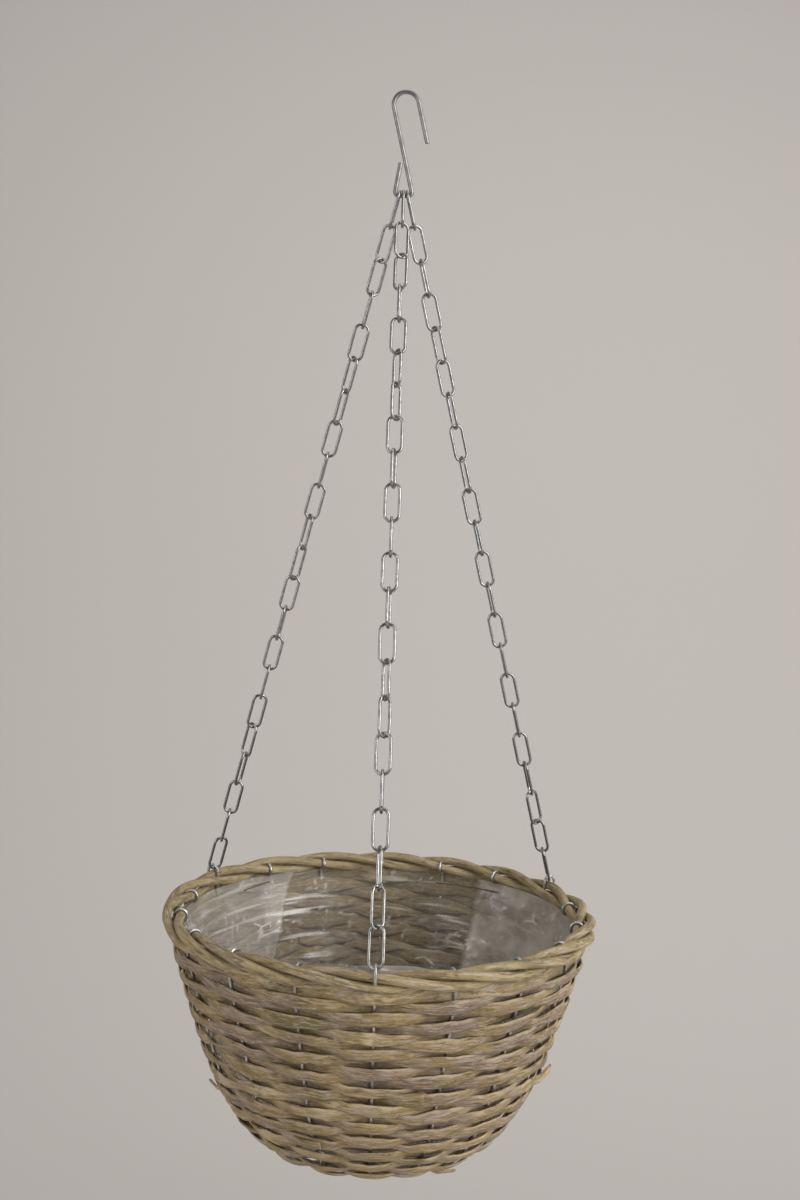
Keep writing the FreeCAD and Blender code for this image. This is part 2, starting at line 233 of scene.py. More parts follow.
def willow_numbers(tone: np.ndarray, shade: np.ndarray, seed: np.ndarray | None = None) -> dict:
    """The per-point numbers of a willow piece with no painted edge highlight and no tint; its tone is its seed where
    none is given.
    """
    none = np.zeros(tone.shape)
    return {"tone": tone, "seed": tone if seed is None else seed, "shade": shade, "painted_edge_highlight": none, "tint": none}


def grid_corners(rows: int, columns: int) -> list:
    """The four corners of each cell of a grid of points, as (row, column) index arrays."""
    i, j = np.meshgrid(np.arange(rows - 1), np.arange(columns - 1), indexing="ij")
    i, j = i.ravel(), j.ravel()
    return [(i, j), (i, j + 1), (i + 1, j + 1), (i + 1, j)]


def tube_data(points: np.ndarray, along: np.ndarray, across: np.ndarray, numbers: dict, closed: bool) -> SkinData:
    """Turns rings of points carried along a path into faces.

    In words: ring i joins ring i + 1, point j joins point j + 1, and the UV is the distance along and across.
    Each end of an open tube is shut by a row of faces across its section.

    Args:
        points: (rings, section, 3), each ring turned so that faces look outwards.
        along: distance along the path at each ring, one value more than rings where closed.
        across: distance round the section, one value more than the section.
        numbers: per-point numbers, each (rings, section).
        closed: whether the last ring joins the first.

    Returns:
        The mesh arrays.
    """
    rings, section = points.shape[:2]
    steps = rings if closed else rings - 1
    i, j = np.meshgrid(np.arange(steps), np.arange(section), indexing="ij")
    i, j = i.ravel(), j.ravel()
    i2, j2 = (i + 1) % rings, (j + 1) % section
    faces = np.stack([a * section + b for a, b in ((i, j), (i2, j), (i2, j2), (i, j2))], axis=1)
    ends = ((i, j), (i + 1, j), (i + 1, j + 1), (i, j + 1))
    uv = np.stack([np.stack([along[a], across[b]], axis=1) for a, b in ends], axis=1)
    flat = points.reshape(-1, 3)
    flat_numbers = {key: values.ravel() for key, values in numbers.items()}
    if closed:
        return SkinData(flat, faces, uv.reshape(-1, 2), flat_numbers)
    half = section // 2
    k = np.arange(half - 1)
    start = np.stack([k, k + 1, section - 2 - k, section - 1 - k], axis=1)
    end = (rings - 1) * section + start[:, ::-1]
    caps = np.concatenate([start, end])
    cap_uv = np.zeros((len(caps) * 4, 2)) + [[along[0], 0.5]]
    return SkinData(flat, np.concatenate([faces, caps]), np.concatenate([uv.reshape(-1, 2), cap_uv]), flat_numbers)


@dataclass(frozen=True)
class BowlLine:
    """The middle line of the woven wall: a shoulder, a long easy arc, a rounder one, the heel and a flat bottom."""

    top: float
    bottom: float
    shoulder: float = 30 * MM
    shoulder_lean: float = math.radians(15)
    upper_lean: float = math.radians(19.5)
    lower_bend: float = 140 * MM
    lower_lean: float = math.radians(42.5)
    heel: float = 26 * MM

    def arcs(self) -> list:
        """The four arcs as (centre radius, centre height, bend radius, lean from, lean to).

        In words: an arc drops by its bend radius times the growth of the sine of its lean. The long arc takes
        the height that the other three leave.

        Returns:
            The four arcs from the top down.
        """
        level = math.pi / 2
        others = ((self.shoulder, 0.0, self.shoulder_lean), (self.lower_bend, self.upper_lean, self.lower_lean))
        others += ((self.heel, self.lower_lean, level),)
        rest = self.top - self.bottom - sum(bend * (math.sin(end) - math.sin(start)) for bend, start, end in others)
        upper_bend = rest / (math.sin(self.upper_lean) - math.sin(self.shoulder_lean))
        arcs = [(RIM_RADIUS - self.shoulder, self.top, self.shoulder, 0.0, self.shoulder_lean)]
        for bend, lean_to in ((upper_bend, self.upper_lean), (self.lower_bend, self.lower_lean), (self.heel, level)):
            arcs.append(self.following(arcs[-1], bend, lean_to))
        return arcs

    @staticmethod
    def following(arc: tuple, bend: float, lean_to: float) -> tuple:
        """The arc that goes on from another without a kink.

        Args:
            arc: the arc above it.
            bend: its bend radius.
            lean_to: its lean at the lower end.

        Returns:
            The arc.
        """
        centre_r, centre_z, radius, _, lean = arc
        r = centre_r + (radius - bend) * math.cos(lean)
        z = centre_z - (radius - bend) * math.sin(lean)
        return (r, z, bend, lean, lean_to)

    def length(self) -> float:
        """The length of the line from its top to the axis."""
        arcs = self.arcs()
        return sum(a[2] * (a[4] - a[3]) for a in arcs) + arcs[-1][0]

    def run_to(self, lean: float) -> float:
        """The length of the line from its top down to a lean."""
        return sum(a[2] * (min(a[4], lean) - a[3]) for a in self.arcs() if a[3] < lean)

    def at(self, distance: np.ndarray) -> tuple:
        """The line at a distance from its top.

        In words: the lean grows with distance over bend radius in each arc, and stays a right angle on the flat.

        Args:
            distance: metres along the line.

        Returns:
            Arrays of radius, height and lean.
        """
        distance = np.asarray(distance, dtype=float)
        radius = np.full(distance.shape, RIM_RADIUS)
        height = self.top - np.minimum(distance, 0)
        lean = np.zeros(distance.shape)
        start = 0.0
        for centre_r, centre_z, bend, lean_from, lean_to in self.arcs():
            here = distance >= start
            turn = np.clip((distance - start) / bend + lean_from, lean_from, lean_to)
            radius = np.where(here, centre_r + bend * np.cos(turn), radius)
            height = np.where(here, centre_z - bend * np.sin(turn), height)
            lean = np.where(here, turn, lean)
            start += bend * (lean_to - lean_from)
        radius = np.where(distance > start, radius - (distance - start), radius)
        return radius, height, lean


def surface_points(line: BowlLine, distance: np.ndarray, angle: np.ndarray, out: np.ndarray) -> np.ndarray:
    """Points off the woven wall's middle surface.

    In words: go down the bowl's line by distance, round by angle, then out along the line's normal.

    Args:
        line: the bowl's middle line.
        distance: metres down the line.
        angle: radians round the bowl.
        out: metres outwards.

    Returns:
        The points, with a last axis of 3.
    """
    radius, height, lean = line.at(distance)
    return ring_points(radius + out * np.cos(lean), angle, height - out * np.sin(lean))


class Nodes:
    """A material's node tree, with short calls to add and join nodes."""

    def __init__(self, tree: bpy.types.NodeTree) -> None:
        """Keeps the node tree to build in."""
        self.tree = tree

    def add(self, kind: str, **values: object) -> bpy.types.Node:
        """A new node with some of its properties set.

        Args:
            kind: the node's type name.
            **values: properties by name.

        Returns:
            The node.
        """
        node = self.tree.nodes.new(kind)
        for key, value in values.items():
            setattr(node, key, value)
        return node

    def feed(self, socket: bpy.types.NodeSocket, value: object) -> None:
        """Joins a socket to another one, or sets it to a plain value.

        Args:
            socket: the input.
            value: an output socket, a number or a colour.
        """
        if isinstance(value, bpy.types.NodeSocket):
            self.tree.links.new(value, socket)
        else:
            socket.default_value = value

    def math(self, operation: str, *values: object, clamp: bool = False) -> bpy.types.NodeSocket:
        """A Math node's result.

        Args:
            operation: the operation's name.
            *values: its inputs.
            clamp: whether the result is kept between 0 and 1.

        Returns:
            The output socket.
        """
        node = self.add("ShaderNodeMath", operation=operation, use_clamp=clamp)
        for socket, value in zip(node.inputs, values):
            self.feed(socket, value)
        return node.outputs[0]

    def mix(self, share: object, first: object, second: object) -> bpy.types.NodeSocket:
        """A colour between two others.

        Args:
            share: how much of the second.
            first: colour or socket.
            second: colour or socket.

        Returns:
            The output socket.
        """
        node = self.add("ShaderNodeMix", data_type="RGBA")
        self.feed(node.inputs[0], share)
        self.feed(node.inputs[6], first)
        self.feed(node.inputs[7], second)
        return node.outputs[2]

    def laid(self, colour: object, over: object, share: object, amount: float) -> bpy.types.NodeSocket:
        """A colour with another one laid over it where share is high, covering by amount."""
        return self.mix(self.math("MULTIPLY", share, amount), colour, over)

    def bump(self, height: object, strength: float, distance: float) -> bpy.types.NodeSocket:
        """The normal of a surface with a relief.

        Args:
            height: the relief, 0 to 1.
            strength: how strongly it shows.
            distance: how high it is.

        Returns:
            The normal.
        """
        node = self.add("ShaderNodeBump")
        node.inputs["Strength"].default_value = strength
        node.inputs["Distance"].default_value = distance
        self.feed(node.inputs["Height"], height)
        return node.outputs[0]

    def noise(self, vector: object, scale: float, detail: float = 2.0, rough: float = 0.5) -> bpy.types.NodeSocket:
        """A noise pattern's value.

        Args:
            vector: where it is read.
            scale: how fine it is.
            detail: octaves.
            rough: how strong the finer octaves are.

        Returns:
            The factor socket.
        """
        node = self.add("ShaderNodeTexNoise", noise_dimensions="3D")
        self.feed(node.inputs["Vector"], vector)
        node.inputs["Scale"].default_value = scale
        node.inputs["Detail"].default_value = detail
        node.inputs["Roughness"].default_value = rough
        return node.outputs["Fac"]

    def spread(self, value: object, low: float, high: float) -> bpy.types.NodeSocket:
        """Stretches a value so that low gives 0 and high gives 1, with soft ends.

        Args:
            value: the socket.
            low: value that gives 0.
            high: value that gives 1.

        Returns:
            The output socket.
        """
        node = self.add("ShaderNodeMapRange", interpolation_type="SMOOTHSTEP")
        self.feed(node.inputs[0], value)
        node.inputs[1].default_value = low
        node.inputs[2].default_value = high
        return node.outputs[0]

    def stretched(self, place: object, scale: tuple) -> bpy.types.NodeSocket:
        """A place with each of its numbers multiplied."""
        node = self.add("ShaderNodeVectorMath", operation="MULTIPLY")
        self.feed(node.inputs[0], place)
        node.inputs[1].default_value = scale
        return node.outputs[0]

    def warped(self, place: object, scale: float, size: float) -> bpy.types.NodeSocket:
        """A place pushed about by a noise, so that patterns read there lose their straight lines.

        Args:
            place: the place.
            scale: how fine the noise is.
            size: how far it pushes.

        Returns:
            The moved place.
        """
        noise = self.add("ShaderNodeTexNoise", noise_dimensions="3D")
        self.feed(noise.inputs["Vector"], place)
        noise.inputs["Scale"].default_value = scale
        push = self.add("ShaderNodeVectorMath", operation="MULTIPLY_ADD")
        self.feed(push.inputs[0], noise.outputs["Color"])
        push.inputs[1].default_value = (size, size, size)
        self.feed(push.inputs[2], place)
        return push.outputs[0]

    def vector(self, x: object, y: object, z: object) -> bpy.types.NodeSocket:
        """Three values as a vector."""
        node = self.add("ShaderNodeCombineXYZ")
        for socket, value in zip(node.inputs, (x, y, z)):
            self.feed(socket, value)
        return node.outputs[0]

    def number(self, name: str) -> bpy.types.NodeSocket:
        """The value of one of the mesh's own per-point numbers."""
        return self.add("ShaderNodeAttribute", attribute_name=name).outputs["Fac"]


def new_material(name: str) -> tuple:
    """An empty material.

    Args:
        name: its name.

    Returns:
        The material, its Nodes helper and its shader.
    """
    made = bpy.data.materials.new(name)
    made.use_nodes = True
    return made, Nodes(made.node_tree), made.node_tree.nodes["Principled BSDF"]


def new_group(name: str, inputs: dict, outputs: tuple) -> tuple:
    """An empty shader node group.

    Args:
        name: its name.
        inputs: socket type by input name.
        outputs: names of the value outputs.

    Returns:
        The group, its Nodes helper, its input node and its output node.
    """
    tree = bpy.data.node_groups.new(name, "ShaderNodeTree")
    for key, kind in inputs.items():
        tree.interface.new_socket(name=key, in_out="INPUT", socket_type=kind)
    for key in outputs:
        tree.interface.new_socket(name=key, in_out="OUTPUT", socket_type="NodeSocketFloat")
    nodes = Nodes(tree)
    return tree, nodes, nodes.add("NodeGroupInput"), nodes.add("NodeGroupOutput")


def willow_grain_group() -> bpy.types.NodeTree:
    """Grain that runs along a willow strip or rod.

    In words: noise squeezed along the strip's length gives broad blotches, patches of bark, streaks and thin
    fibres. Pores are small dark specks. Height is the fibres and streaks together.

    Returns:
        The group.
    """
    inputs = {"Along": "NodeSocketFloat", "Across": "NodeSocketFloat", "Seed": "NodeSocketFloat"}
    tree, n, given, out = new_group("willow_grain", inputs, ("Blotch", "Streak", "Fibre", "Speck", "Bark", "Height"))
    along, across, seed = given.outputs[0], given.outputs[1], given.outputs[2]
    depth = n.math("MULTIPLY", seed, 37.0)

    def squeezed(length: float, width: float) -> bpy.types.NodeSocket:
        """A place on the strip, in units of so many metres along and across."""
        return n.vector(n.math("DIVIDE", along, length), n.math("DIVIDE", across, width), depth)

    blotch = n.noise(squeezed(17 * MM, 4.5 * MM), 1.0, 3.0, 0.6)
    streak = n.noise(squeezed(11 * MM, 1.6 * MM), 1.0, 4.0, 0.62)
    fibre = n.noise(squeezed(6 * MM, 0.75 * MM), 1.0, 3.0, 0.6)
    bark = n.noise(squeezed(13 * MM, 2.4 * MM), 1.0, 4.0, 0.62)
    speck = n.noise(squeezed(1.6 * MM, 0.9 * MM), 1.0, 1.0)
    height = n.math("ADD", n.math("MULTIPLY", streak, 0.6), n.math("MULTIPLY", fibre, 0.4))
    for key, value in {"Blotch": blotch, "Streak": streak, "Fibre": fibre, "Bark": bark, "Height": height}.items():
        n.feed(out.inputs[key], value)
    n.feed(out.inputs["Speck"], n.spread(speck, 0.7, 0.78))
    return tree


@dataclass(frozen=True)
class WillowFinish:
    """Dry willow, washed with thin grey, as colours from its hollows to its crowns, with painted shade and a painted
    highlight on upper edges laid on where per-point numbers ask.
    """

    name: str
    deep: tuple
    olive: tuple
    tan: tuple
    pale: tuple
    wash: tuple
    cut: Cut
    mauve: tuple = (0.215, 0.164, 0.138, 1)
    ochre: tuple = (0.42, 0.26, 0.125, 1)
    bark: tuple = (0.15, 0.078, 0.048, 1)
    mauve_share: float = 0.8
    wash_share: float = 0.75
    bark_share: float = 0.6
    roughness: float = 0.62
    relief: float = 0.75

    def material(self, grain: bpy.types.NodeTree) -> bpy.types.Material:
        """Builds the material.

        Args:
            grain: the shared grain group.

        Returns:
            The material.
        """
        made, n, shader = new_material(self.name)
        uv = n.add("ShaderNodeUVMap", uv_map="grain_uv")
        split = n.add("ShaderNodeSeparateXYZ")
        n.feed(split.inputs[0], uv.outputs[0])
        tone, seed, shade, painted_edge_highlight, tint = (n.number(key) for key in ("tone", "seed", "shade", "painted_edge_highlight", "tint"))
        group = n.add("ShaderNodeGroup", node_tree=grain)
        n.feed(group.inputs["Along"], split.outputs[0])
        n.feed(group.inputs["Across"], split.outputs[1])
        n.feed(group.inputs["Seed"], seed)
        keys = ("Blotch", "Streak", "Fibre", "Speck", "Bark")
        blotch, streak, fibre, speck, bark = (group.outputs[key] for key in keys)
        level = n.math("ADD", n.math("MULTIPLY", tone, 0.7), n.math("MULTIPLY", n.spread(blotch, 0.3, 0.7), 0.6))
        colour = n.mix(n.spread(level, 0.1, 0.7), self.olive, self.tan)
        colour = n.mix(n.spread(level, 0.75, 1.2), colour, self.pale)
        greyed = n.math("MULTIPLY_ADD", n.math("SUBTRACT", blotch, 0.5), 1.6, tint)
        # Each colour laid over the ones before it, where it lies and how well it covers.
        layers = (
            (self.mauve, n.spread(greyed, 0.35, 0.7), self.mauve_share),
            (self.ochre, n.spread(bark, 0.43, 0.36), self.bark_share),
            (self.bark, n.spread(bark, 0.56, 0.64), self.bark_share),
            (self.wash, n.spread(streak, 0.53, 0.61), self.wash_share),
            (self.deep, n.spread(streak, 0.42, 0.32), 0.7),
            (self.deep, n.spread(fibre, 0.42, 0.3), 0.5),
            (self.pale, n.spread(fibre, 0.57, 0.68), 0.6),
            # Painted highlight: the pale colour on the upper edges of outer faces, broken up by the blotches.
            (self.pale, n.math("MULTIPLY", painted_edge_highlight, n.spread(blotch, 0.4, 0.6)), 0.7),
            (self.deep, speck, 0.55),
            # Painted shade: the deep colour where the shade number asks; on inner faces it also stands for their
            # darker pith.
            (self.deep, shade, 0.8),
        )
        for over, share, amount in layers:
            colour = n.laid(colour, over, share, amount)
        n.feed(shader.inputs["Base Color"], colour)
        n.feed(shader.inputs["Roughness"], n.math("ADD", n.math("MULTIPLY", blotch, 0.25), self.roughness - 0.12))
        gloss, rough_share = (0.45, 0.5) if self.cut is Cut.WHOLE else (0.35, 1.0)
        shader.inputs["Specular IOR Level"].default_value = gloss
        n.feed(shader.inputs["Normal"], n.bump(group.outputs["Height"], self.relief * rough_share, 0.6 * MM))
        return made


def metal_wear_group() -> bpy.types.NodeTree:
    """Wear and draw marks on zinc wire, read from the object's own coordinates.

    In words: a coarse noise gives dull patches, a fine one gives pits, and both give the height.

    Returns:
        The group.
    """
    tree, n, given, out = new_group("zinc_wear", {"Place": "NodeSocketVector"}, ("Dull", "Pit", "Height"))
    dull = n.noise(given.outputs[0], 260.0, 3.0, 0.6)
    pit = n.noise(given.outputs[0], 1400.0, 2.0, 0.6)
    n.feed(out.inputs["Dull"], n.spread(dull, 0.35, 0.7))
    n.feed(out.inputs["Pit"], n.spread(pit, 0.6, 0.75))
    n.feed(out.inputs["Height"], n.math("ADD", dull, n.math("MULTIPLY", pit, 0.5)))
    return tree


@dataclass(frozen=True)
class ZincFinish:
    """Zinc-plated wire: bright where it is rubbed, dull and darker elsewhere."""

    name: str
    bright: tuple
    dull: tuple
    smooth: float
    rough: float
    metallic: float = 1.0
    relief: float = 0.05

    def material(self, wear: bpy.types.NodeTree) -> bpy.types.Material:
        """Builds the material.

        Args:
            wear: the shared wear group.

        Returns:
            The material.
        """
        made, n, shader = new_material(self.name)
        place = n.add("ShaderNodeTexCoord")
        group = n.add("ShaderNodeGroup", node_tree=wear)
        n.feed(group.inputs["Place"], place.outputs["Object"])
        colour = n.mix(group.outputs["Dull"], self.bright, self.dull)
        colour = n.laid(colour, (0.08, 0.08, 0.085, 1), group.outputs["Pit"], 0.25)
        n.feed(shader.inputs["Base Color"], colour)
        span = self.rough - self.smooth
        n.feed(shader.inputs["Roughness"], n.math("MULTIPLY_ADD", group.outputs["Dull"], span, self.smooth))
        shader.inputs["Metallic"].default_value = self.metallic
        n.feed(shader.inputs["Normal"], n.bump(group.outputs["Height"], self.relief, 0.2 * MM))
        return made


@dataclass(frozen=True)
class FilmFinish:
    """Clear polythene film: see-through, milky where it is double, and whiter on its creases partly for stress
    whitening and partly as painted highlight.
    """

    name: str
    colour: tuple
    clear: float
    milky: float
    roughness: float

    def material(self) -> bpy.types.Material:
        """Builds the material.

        In words: the film is nearly clear, milky by its haze times a cloudy noise, and whiter and more opaque on its
        creases and ripple streaks, partly for stress whitening and partly as painted highlight.

        Returns:
            The material.
        """
        made, n, shader = new_material(self.name)
        uv = n.add("ShaderNodeUVMap", uv_map="grain_uv")
        crease_and_highlight, haze = n.number("crease_and_highlight"), n.number("haze")
        cloud = n.noise(uv.outputs[0], 38.0, 3.0, 0.6)
        fine = n.noise(uv.outputs[0], 190.0, 3.0, 0.55)
        veil = n.math("MULTIPLY", haze, n.spread(cloud, 0.2, 0.75))
        alpha = n.math("MULTIPLY_ADD", veil, self.milky - self.clear, self.clear)
        streaks = n.math("MULTIPLY", self.streaks(n, uv.outputs[0]), n.spread(haze, 1.1, 0.1))
        fold_and_highlight_lines = n.math("MAXIMUM", self.fold_and_highlight_lines(n, uv.outputs[0], 40.0, 0.045, 0.56), streaks)
        fold_and_highlight_lines = n.math("MAXIMUM", fold_and_highlight_lines, crease_and_highlight)
        alpha = n.math("ADD", alpha, n.math("MULTIPLY", fold_and_highlight_lines, 0.42), clamp=True)
        # Painted highlight: fold lines, ripple streaks and the crease number make the film whiter and more opaque; on
        # creases this also stands for stress whitening.
        n.feed(shader.inputs["Base Color"], n.mix(fold_and_highlight_lines, self.colour, (0.93, 0.92, 0.88, 1)))
        n.feed(shader.inputs["Alpha"], alpha)
        n.feed(shader.inputs["Roughness"], n.math("MULTIPLY_ADD", fine, 0.12, self.roughness))
        shader.inputs["Specular IOR Level"].default_value = 1.0
        relief = n.math("ADD", cloud, n.math("MULTIPLY", fine, 0.3))
        n.feed(shader.inputs["Normal"], n.bump(relief, 0.25, 1.0 * MM))
        return made

    @staticmethod
    def fold_and_highlight_lines(n: Nodes, place: object, scale: float, width: float, bare: float) -> bpy.types.NodeSocket:
        """Thin straight crease lines, as crumpled film has, which the film draws whiter partly for stress whitening
        and partly as painted highlight.

        In words: the borders between random cells, drawn out sideways, kept only where a coarse noise is high.

        Args:
            n: the material's nodes.
            place: where the pattern is read.
            scale: how small the cells are.
            width: how wide a line is, in cell widths.
            bare: the noise level below which there are no lines.

        Returns:
            A value from 0 to 1.
        """
        cells = n.add("ShaderNodeTexVoronoi", feature="DISTANCE_TO_EDGE")
        n.feed(cells.inputs["Vector"], n.stretched(n.warped(place, 30.0, 0.004), (0.6, 1.0, 1.0)))
        cells.inputs["Scale"].default_value = scale
        line = n.spread(cells.outputs["Distance"], width, 0.0)
        return n.math("MULTIPLY", line, n.spread(n.noise(place, scale * 0.9, 2.0), bare, bare + 0.12))

    @staticmethod
    def streaks(n: Nodes, place: object) -> bpy.types.NodeSocket:
        """Soft highlights that run round the bowl on the film's shallow ripples.

        In words: the peaks of a noise drawn out sideways, kept in patches.

        Args:
            n: the material's nodes.
            place: where the pattern is read.

        Returns:
            A value from 0 to 1.
        """
        ripple = n.noise(n.stretched(n.warped(place, 20.0, 0.004), (24.0, 210.0, 1.0)), 1.0, 1.0)
        return n.math("MULTIPLY", n.spread(ripple, 0.56, 0.72), n.spread(n.noise(place, 17.0, 2.0), 0.4, 0.62))


@dataclass(frozen=True)
class LooseEnd:
    """A cut strip end that stands proud of the wall, in degrees and millimetres."""

    degrees: float
    below: float
    way: int
    long: float
    lift: float
    half: float


LOOSE_ENDS = (
    LooseEnd(72, 97, 1, 15, 4.2, 3.1),
    LooseEnd(-69, 109, -1, 6, 2.0, 2.0),
    LooseEnd(34, 160, 1, 9, 2.0, 3.0),
    LooseEnd(40, 60, 1, 11, 1.0, 3.0),
    LooseEnd(-24, 118, 1, 15, 0.8, 3.2),
    LooseEnd(8, 74, 1, 17, 0.6, 3.0),
    LooseEnd(112, 60, -1, 14, 2.0, 3.4),
    LooseEnd(160, 112, 1, 14, 2.4, 3.4),
    LooseEnd(205, 50, -1, 14, 1.6, 3.2),
    LooseEnd(250, 130, 1, 13, 2.0, 3.0),
    LooseEnd(140, 150, -1, 11, 1.8, 3.0),
    LooseEnd(228, 90, 1, 14, 1.5, 3.2),
)


@dataclass
class WovenBowl:
    """Split-willow strips woven in front of and behind the uprights, in rows from the rim down to the base."""

    line: BowlLine
    finish: bpy.types.Material
    wall_rows: int = 14
    heel_rows: int = 10
    base_rows: int = 9
    base_hub: float = 15 * MM
    grain_width: float = 9.2 * MM
    outer_lap: float = 1.25 * MM
    inner_lap: float = 3.2 * MM
    crossing_lap: float = 0.3 * MM
    top_tuck: float = 2.5 * MM
    strip_thickness: float = 2.3 * MM
    swing: float = 2.0 * MM
    samples_per_stake: int = 15
    section: int = 12
    seed: int = 11
    sparse_radius: float = 37 * MM
    butt_width: tuple = (1.0, 1.18)
    tip_width: tuple = (0.78, 0.95)
    tone_spread: float = 0.26
    roll_spread: float = math.radians(13)
    lift_spread: float = 0.45 * MM
    border_wander: float = 0.6 * MM
    border_kinks: float = 0.75 * MM
    strip_around: float = 14 * MM
    edge_shade: float = 0.3
    slats: int = 5
    slat_pitch: float = 5.6 * MM
    slat_half: float = 2.7 * MM
    slat_turn: float = 0.35
    slat_thickness: float = 2.0 * MM
    slat_layer: float = 1.2 * MM
    end_thickness: float = 1.9 * MM
    end_roll: float = 12.0
    sliver_half: float = 0.65 * MM
    sliver_inside: float = 9.5 * MM
    slivers: tuple = ((232, 221, 4.5, 0.5), (137, 161, 3.0, 5.0))
    holes: tuple = ((-59, 56, 6.0), (-54, 77, 5.0), (-49, 86, 5.0), (-53, 65, 4.5), (-42, 4, 6.5), (64, 44, 2.5))
    hole_turn: float = math.radians(5)
    hole_run: float = 5 * MM
    least_half: float = 0.9 * MM

    def build(self) -> list:
        """Builds the two halves of the wall, the base and the loose strip ends.

        Returns:
            The pieces with the CAD nodes that each stands for.
        """
        rng = np.random.default_rng(self.seed)
        steps = STAKES * self.samples_per_stake
        angle = np.arange(steps) / steps * 2 * math.pi
        above = self.wall_rows + self.heel_rows
        total = above + self.base_rows
        look = self.row_looks(rng, angle, total)
        edges = self.row_edges(rng, angle, look["width"])
        upper = self.rows_data(angle, edges, look, range(self.wall_rows))
        lower = self.rows_data(angle, edges, look, range(self.wall_rows, above))
        base = self.rows_data(angle, edges, look, range(above, total))
        base = joined([base, self.hub_slats(rng)])
        ends = self.loose_ends(rng)
        return [
            (upper.piece("upper_weave", self.finish), "woven_wall"),
            (lower.piece("lower_weave", self.finish), "woven_heel"),
            (base.piece("base_weave", self.finish), "woven_base"),
            (ends.piece("strip_ends", self.finish), None),
        ]

    def row_looks(self, rng: np.random.Generator, angle: np.ndarray, total: int) -> dict:
        """Each row's own colour, width and lay round the bowl.

        In words: a row is one to three strips, and a strip starts behind an upright, thick end first,
        and thins towards its tip.

        Args:
            rng: the seeded source of numbers.
            angle: sample angles.
            total: number of rows.

        Returns:
            Arrays (rows, samples) by name.
        """
        tone = np.zeros((total, len(angle)))
        width = np.ones((total, len(angle)))
        for row in range(total):
            strips = int(rng.integers(1, 4))
            hidden = (np.arange(STAKES // 2) * 2 + 1 + row % 2) * STAKE_PITCH
            breaks = np.sort(rng.choice(hidden, size=strips, replace=False))
            index = np.searchsorted(breaks, angle, side="right") - 1
            starts = breaks[index]
            lengths = (np.roll(breaks, -1)[index] - starts) % (2 * math.pi)
            lengths = np.where(lengths == 0, 2 * math.pi, lengths)
            progress = ((angle - starts) % (2 * math.pi)) / lengths
            tones = np.clip(rng.normal(0.5, self.tone_spread, size=strips), 0, 1)
            tone[row] = tones[index]
            butt = rng.uniform(*self.butt_width, size=strips)[index]
            tip = rng.uniform(*self.tip_width, size=strips)[index]
            width[row] = butt + (tip - butt) * progress
        seed = tone.copy()
        tone = np.clip(tone + 0.3 * kinks(rng, angle, total), 0, 1)
        kernel = np.hanning(2 * (self.samples_per_stake // 2) + 1)
        kernel /= kernel.sum()
        half = len(kernel) // 2
        padded = np.concatenate([width[:, -half:], width, width[:, :half]], axis=1)
        width = np.stack([np.convolve(line, kernel, mode="valid") for line in padded])
        width *= 1 + 0.03 * wander(rng, angle, 60, total)
        return {
            "tone": tone,
            "seed": seed,
            "width": width,
            "bulge": 1 + 0.45 * kinks(rng, angle, total),
            "tint": np.clip(0.45 + 0.4 * kinks(rng, angle, total), 0, 1),
            "roll": self.roll_spread * kinks(rng, angle, total),
            "lift": self.lift_spread * kinks(rng, angle, total),
            "crown": rng.uniform(0.75, 1.2, size=(total, 1)) * np.ones((1, len(angle))),
        }

    def row_edges(self, rng: np.random.Generator, angle: np.ndarray, width: np.ndarray) -> np.ndarray:
        """How far down the bowl's line each row begins, round the bowl, and where the last one ends.

        In words: rows are stacked by their own widths and stretched so that the last heel row meets the base
        and the last base row meets the hub. The borders then wander, and bend at the uprights.

        Args:
            rng: the seeded source of numbers.
            angle: sample angles.
            width: relative width of each row.

        Returns:
            An array (rows + 1, samples) in metres.
        """
        above = self.wall_rows + self.heel_rows
        wall_length = self.line.run_to(HEEL_END_LEAN)
        flat = self.line.length() - wall_length - self.base_hub
        wall = np.cumsum(width[:above], axis=0) / width[:above].sum(axis=0) * wall_length
        base = wall_length + np.cumsum(width[above:], axis=0) / width[above:].sum(axis=0) * flat
        edges = np.concatenate([np.full((1, len(angle)), -self.top_tuck), wall, base])
        inside = slice(1, len(edges) - 1)
        count = len(edges) - 2
        wandering = self.border_wander * wander(rng, angle, 12, count)
        edges[inside] += wandering + self.border_kinks * kinks(rng, angle, count)
        return edges

    def rows_data(self, angle: np.ndarray, edges: np.ndarray, look: dict, rows: range) -> SkinData:
        """The mesh of some rows.

        In words: a row swings in and out once for every two uprights. It reaches a little over its neighbours
        where it is outside, hardly at all where it crosses them, and well behind them where it is inside.

        Args:
            angle: sample angles.
            edges: the borders between the rows.
            look: each row's own numbers.
            rows: which rows.

        Returns:
            The mesh arrays.
        """
        made = []
        for row in rows:
            down = (edges[row] + edges[row + 1]) / 2
            radius, _, _ = self.line.at(down)
            fine = float(radius.mean()) > self.sparse_radius
            waves = STAKES // 2 if fine else STAKES // 6
            flatness = 1.05 if fine else 2.2
            side = np.tanh(flatness * np.cos(waves * angle + math.pi * (row % 2))) / math.tanh(flatness)
            peak = np.abs(2 * np.abs((waves * angle / math.pi) % 1 - 0.5)) if fine else np.abs(side)
            lap = np.where(side > 0, self.outer_lap * look["bulge"][row], self.inner_lap)
            reach = self.crossing_lap + (lap - self.crossing_lap) * peak
            half_width = (edges[row + 1] - edges[row]) / 2 + reach
            for degrees, run, depth in self.holes:
                near = np.exp(-((apart(angle, degrees) / self.hole_turn) ** 2))
                near = near * np.exp(-(((down - run * MM) / self.hole_run) ** 2))
                half_width = np.maximum(half_width - depth * MM * near, self.least_half)
            out = side * self.swing + look["lift"][row]
            made.append(self.row_data(angle, down, out, half_width, look, row, side))
        return joined(made)

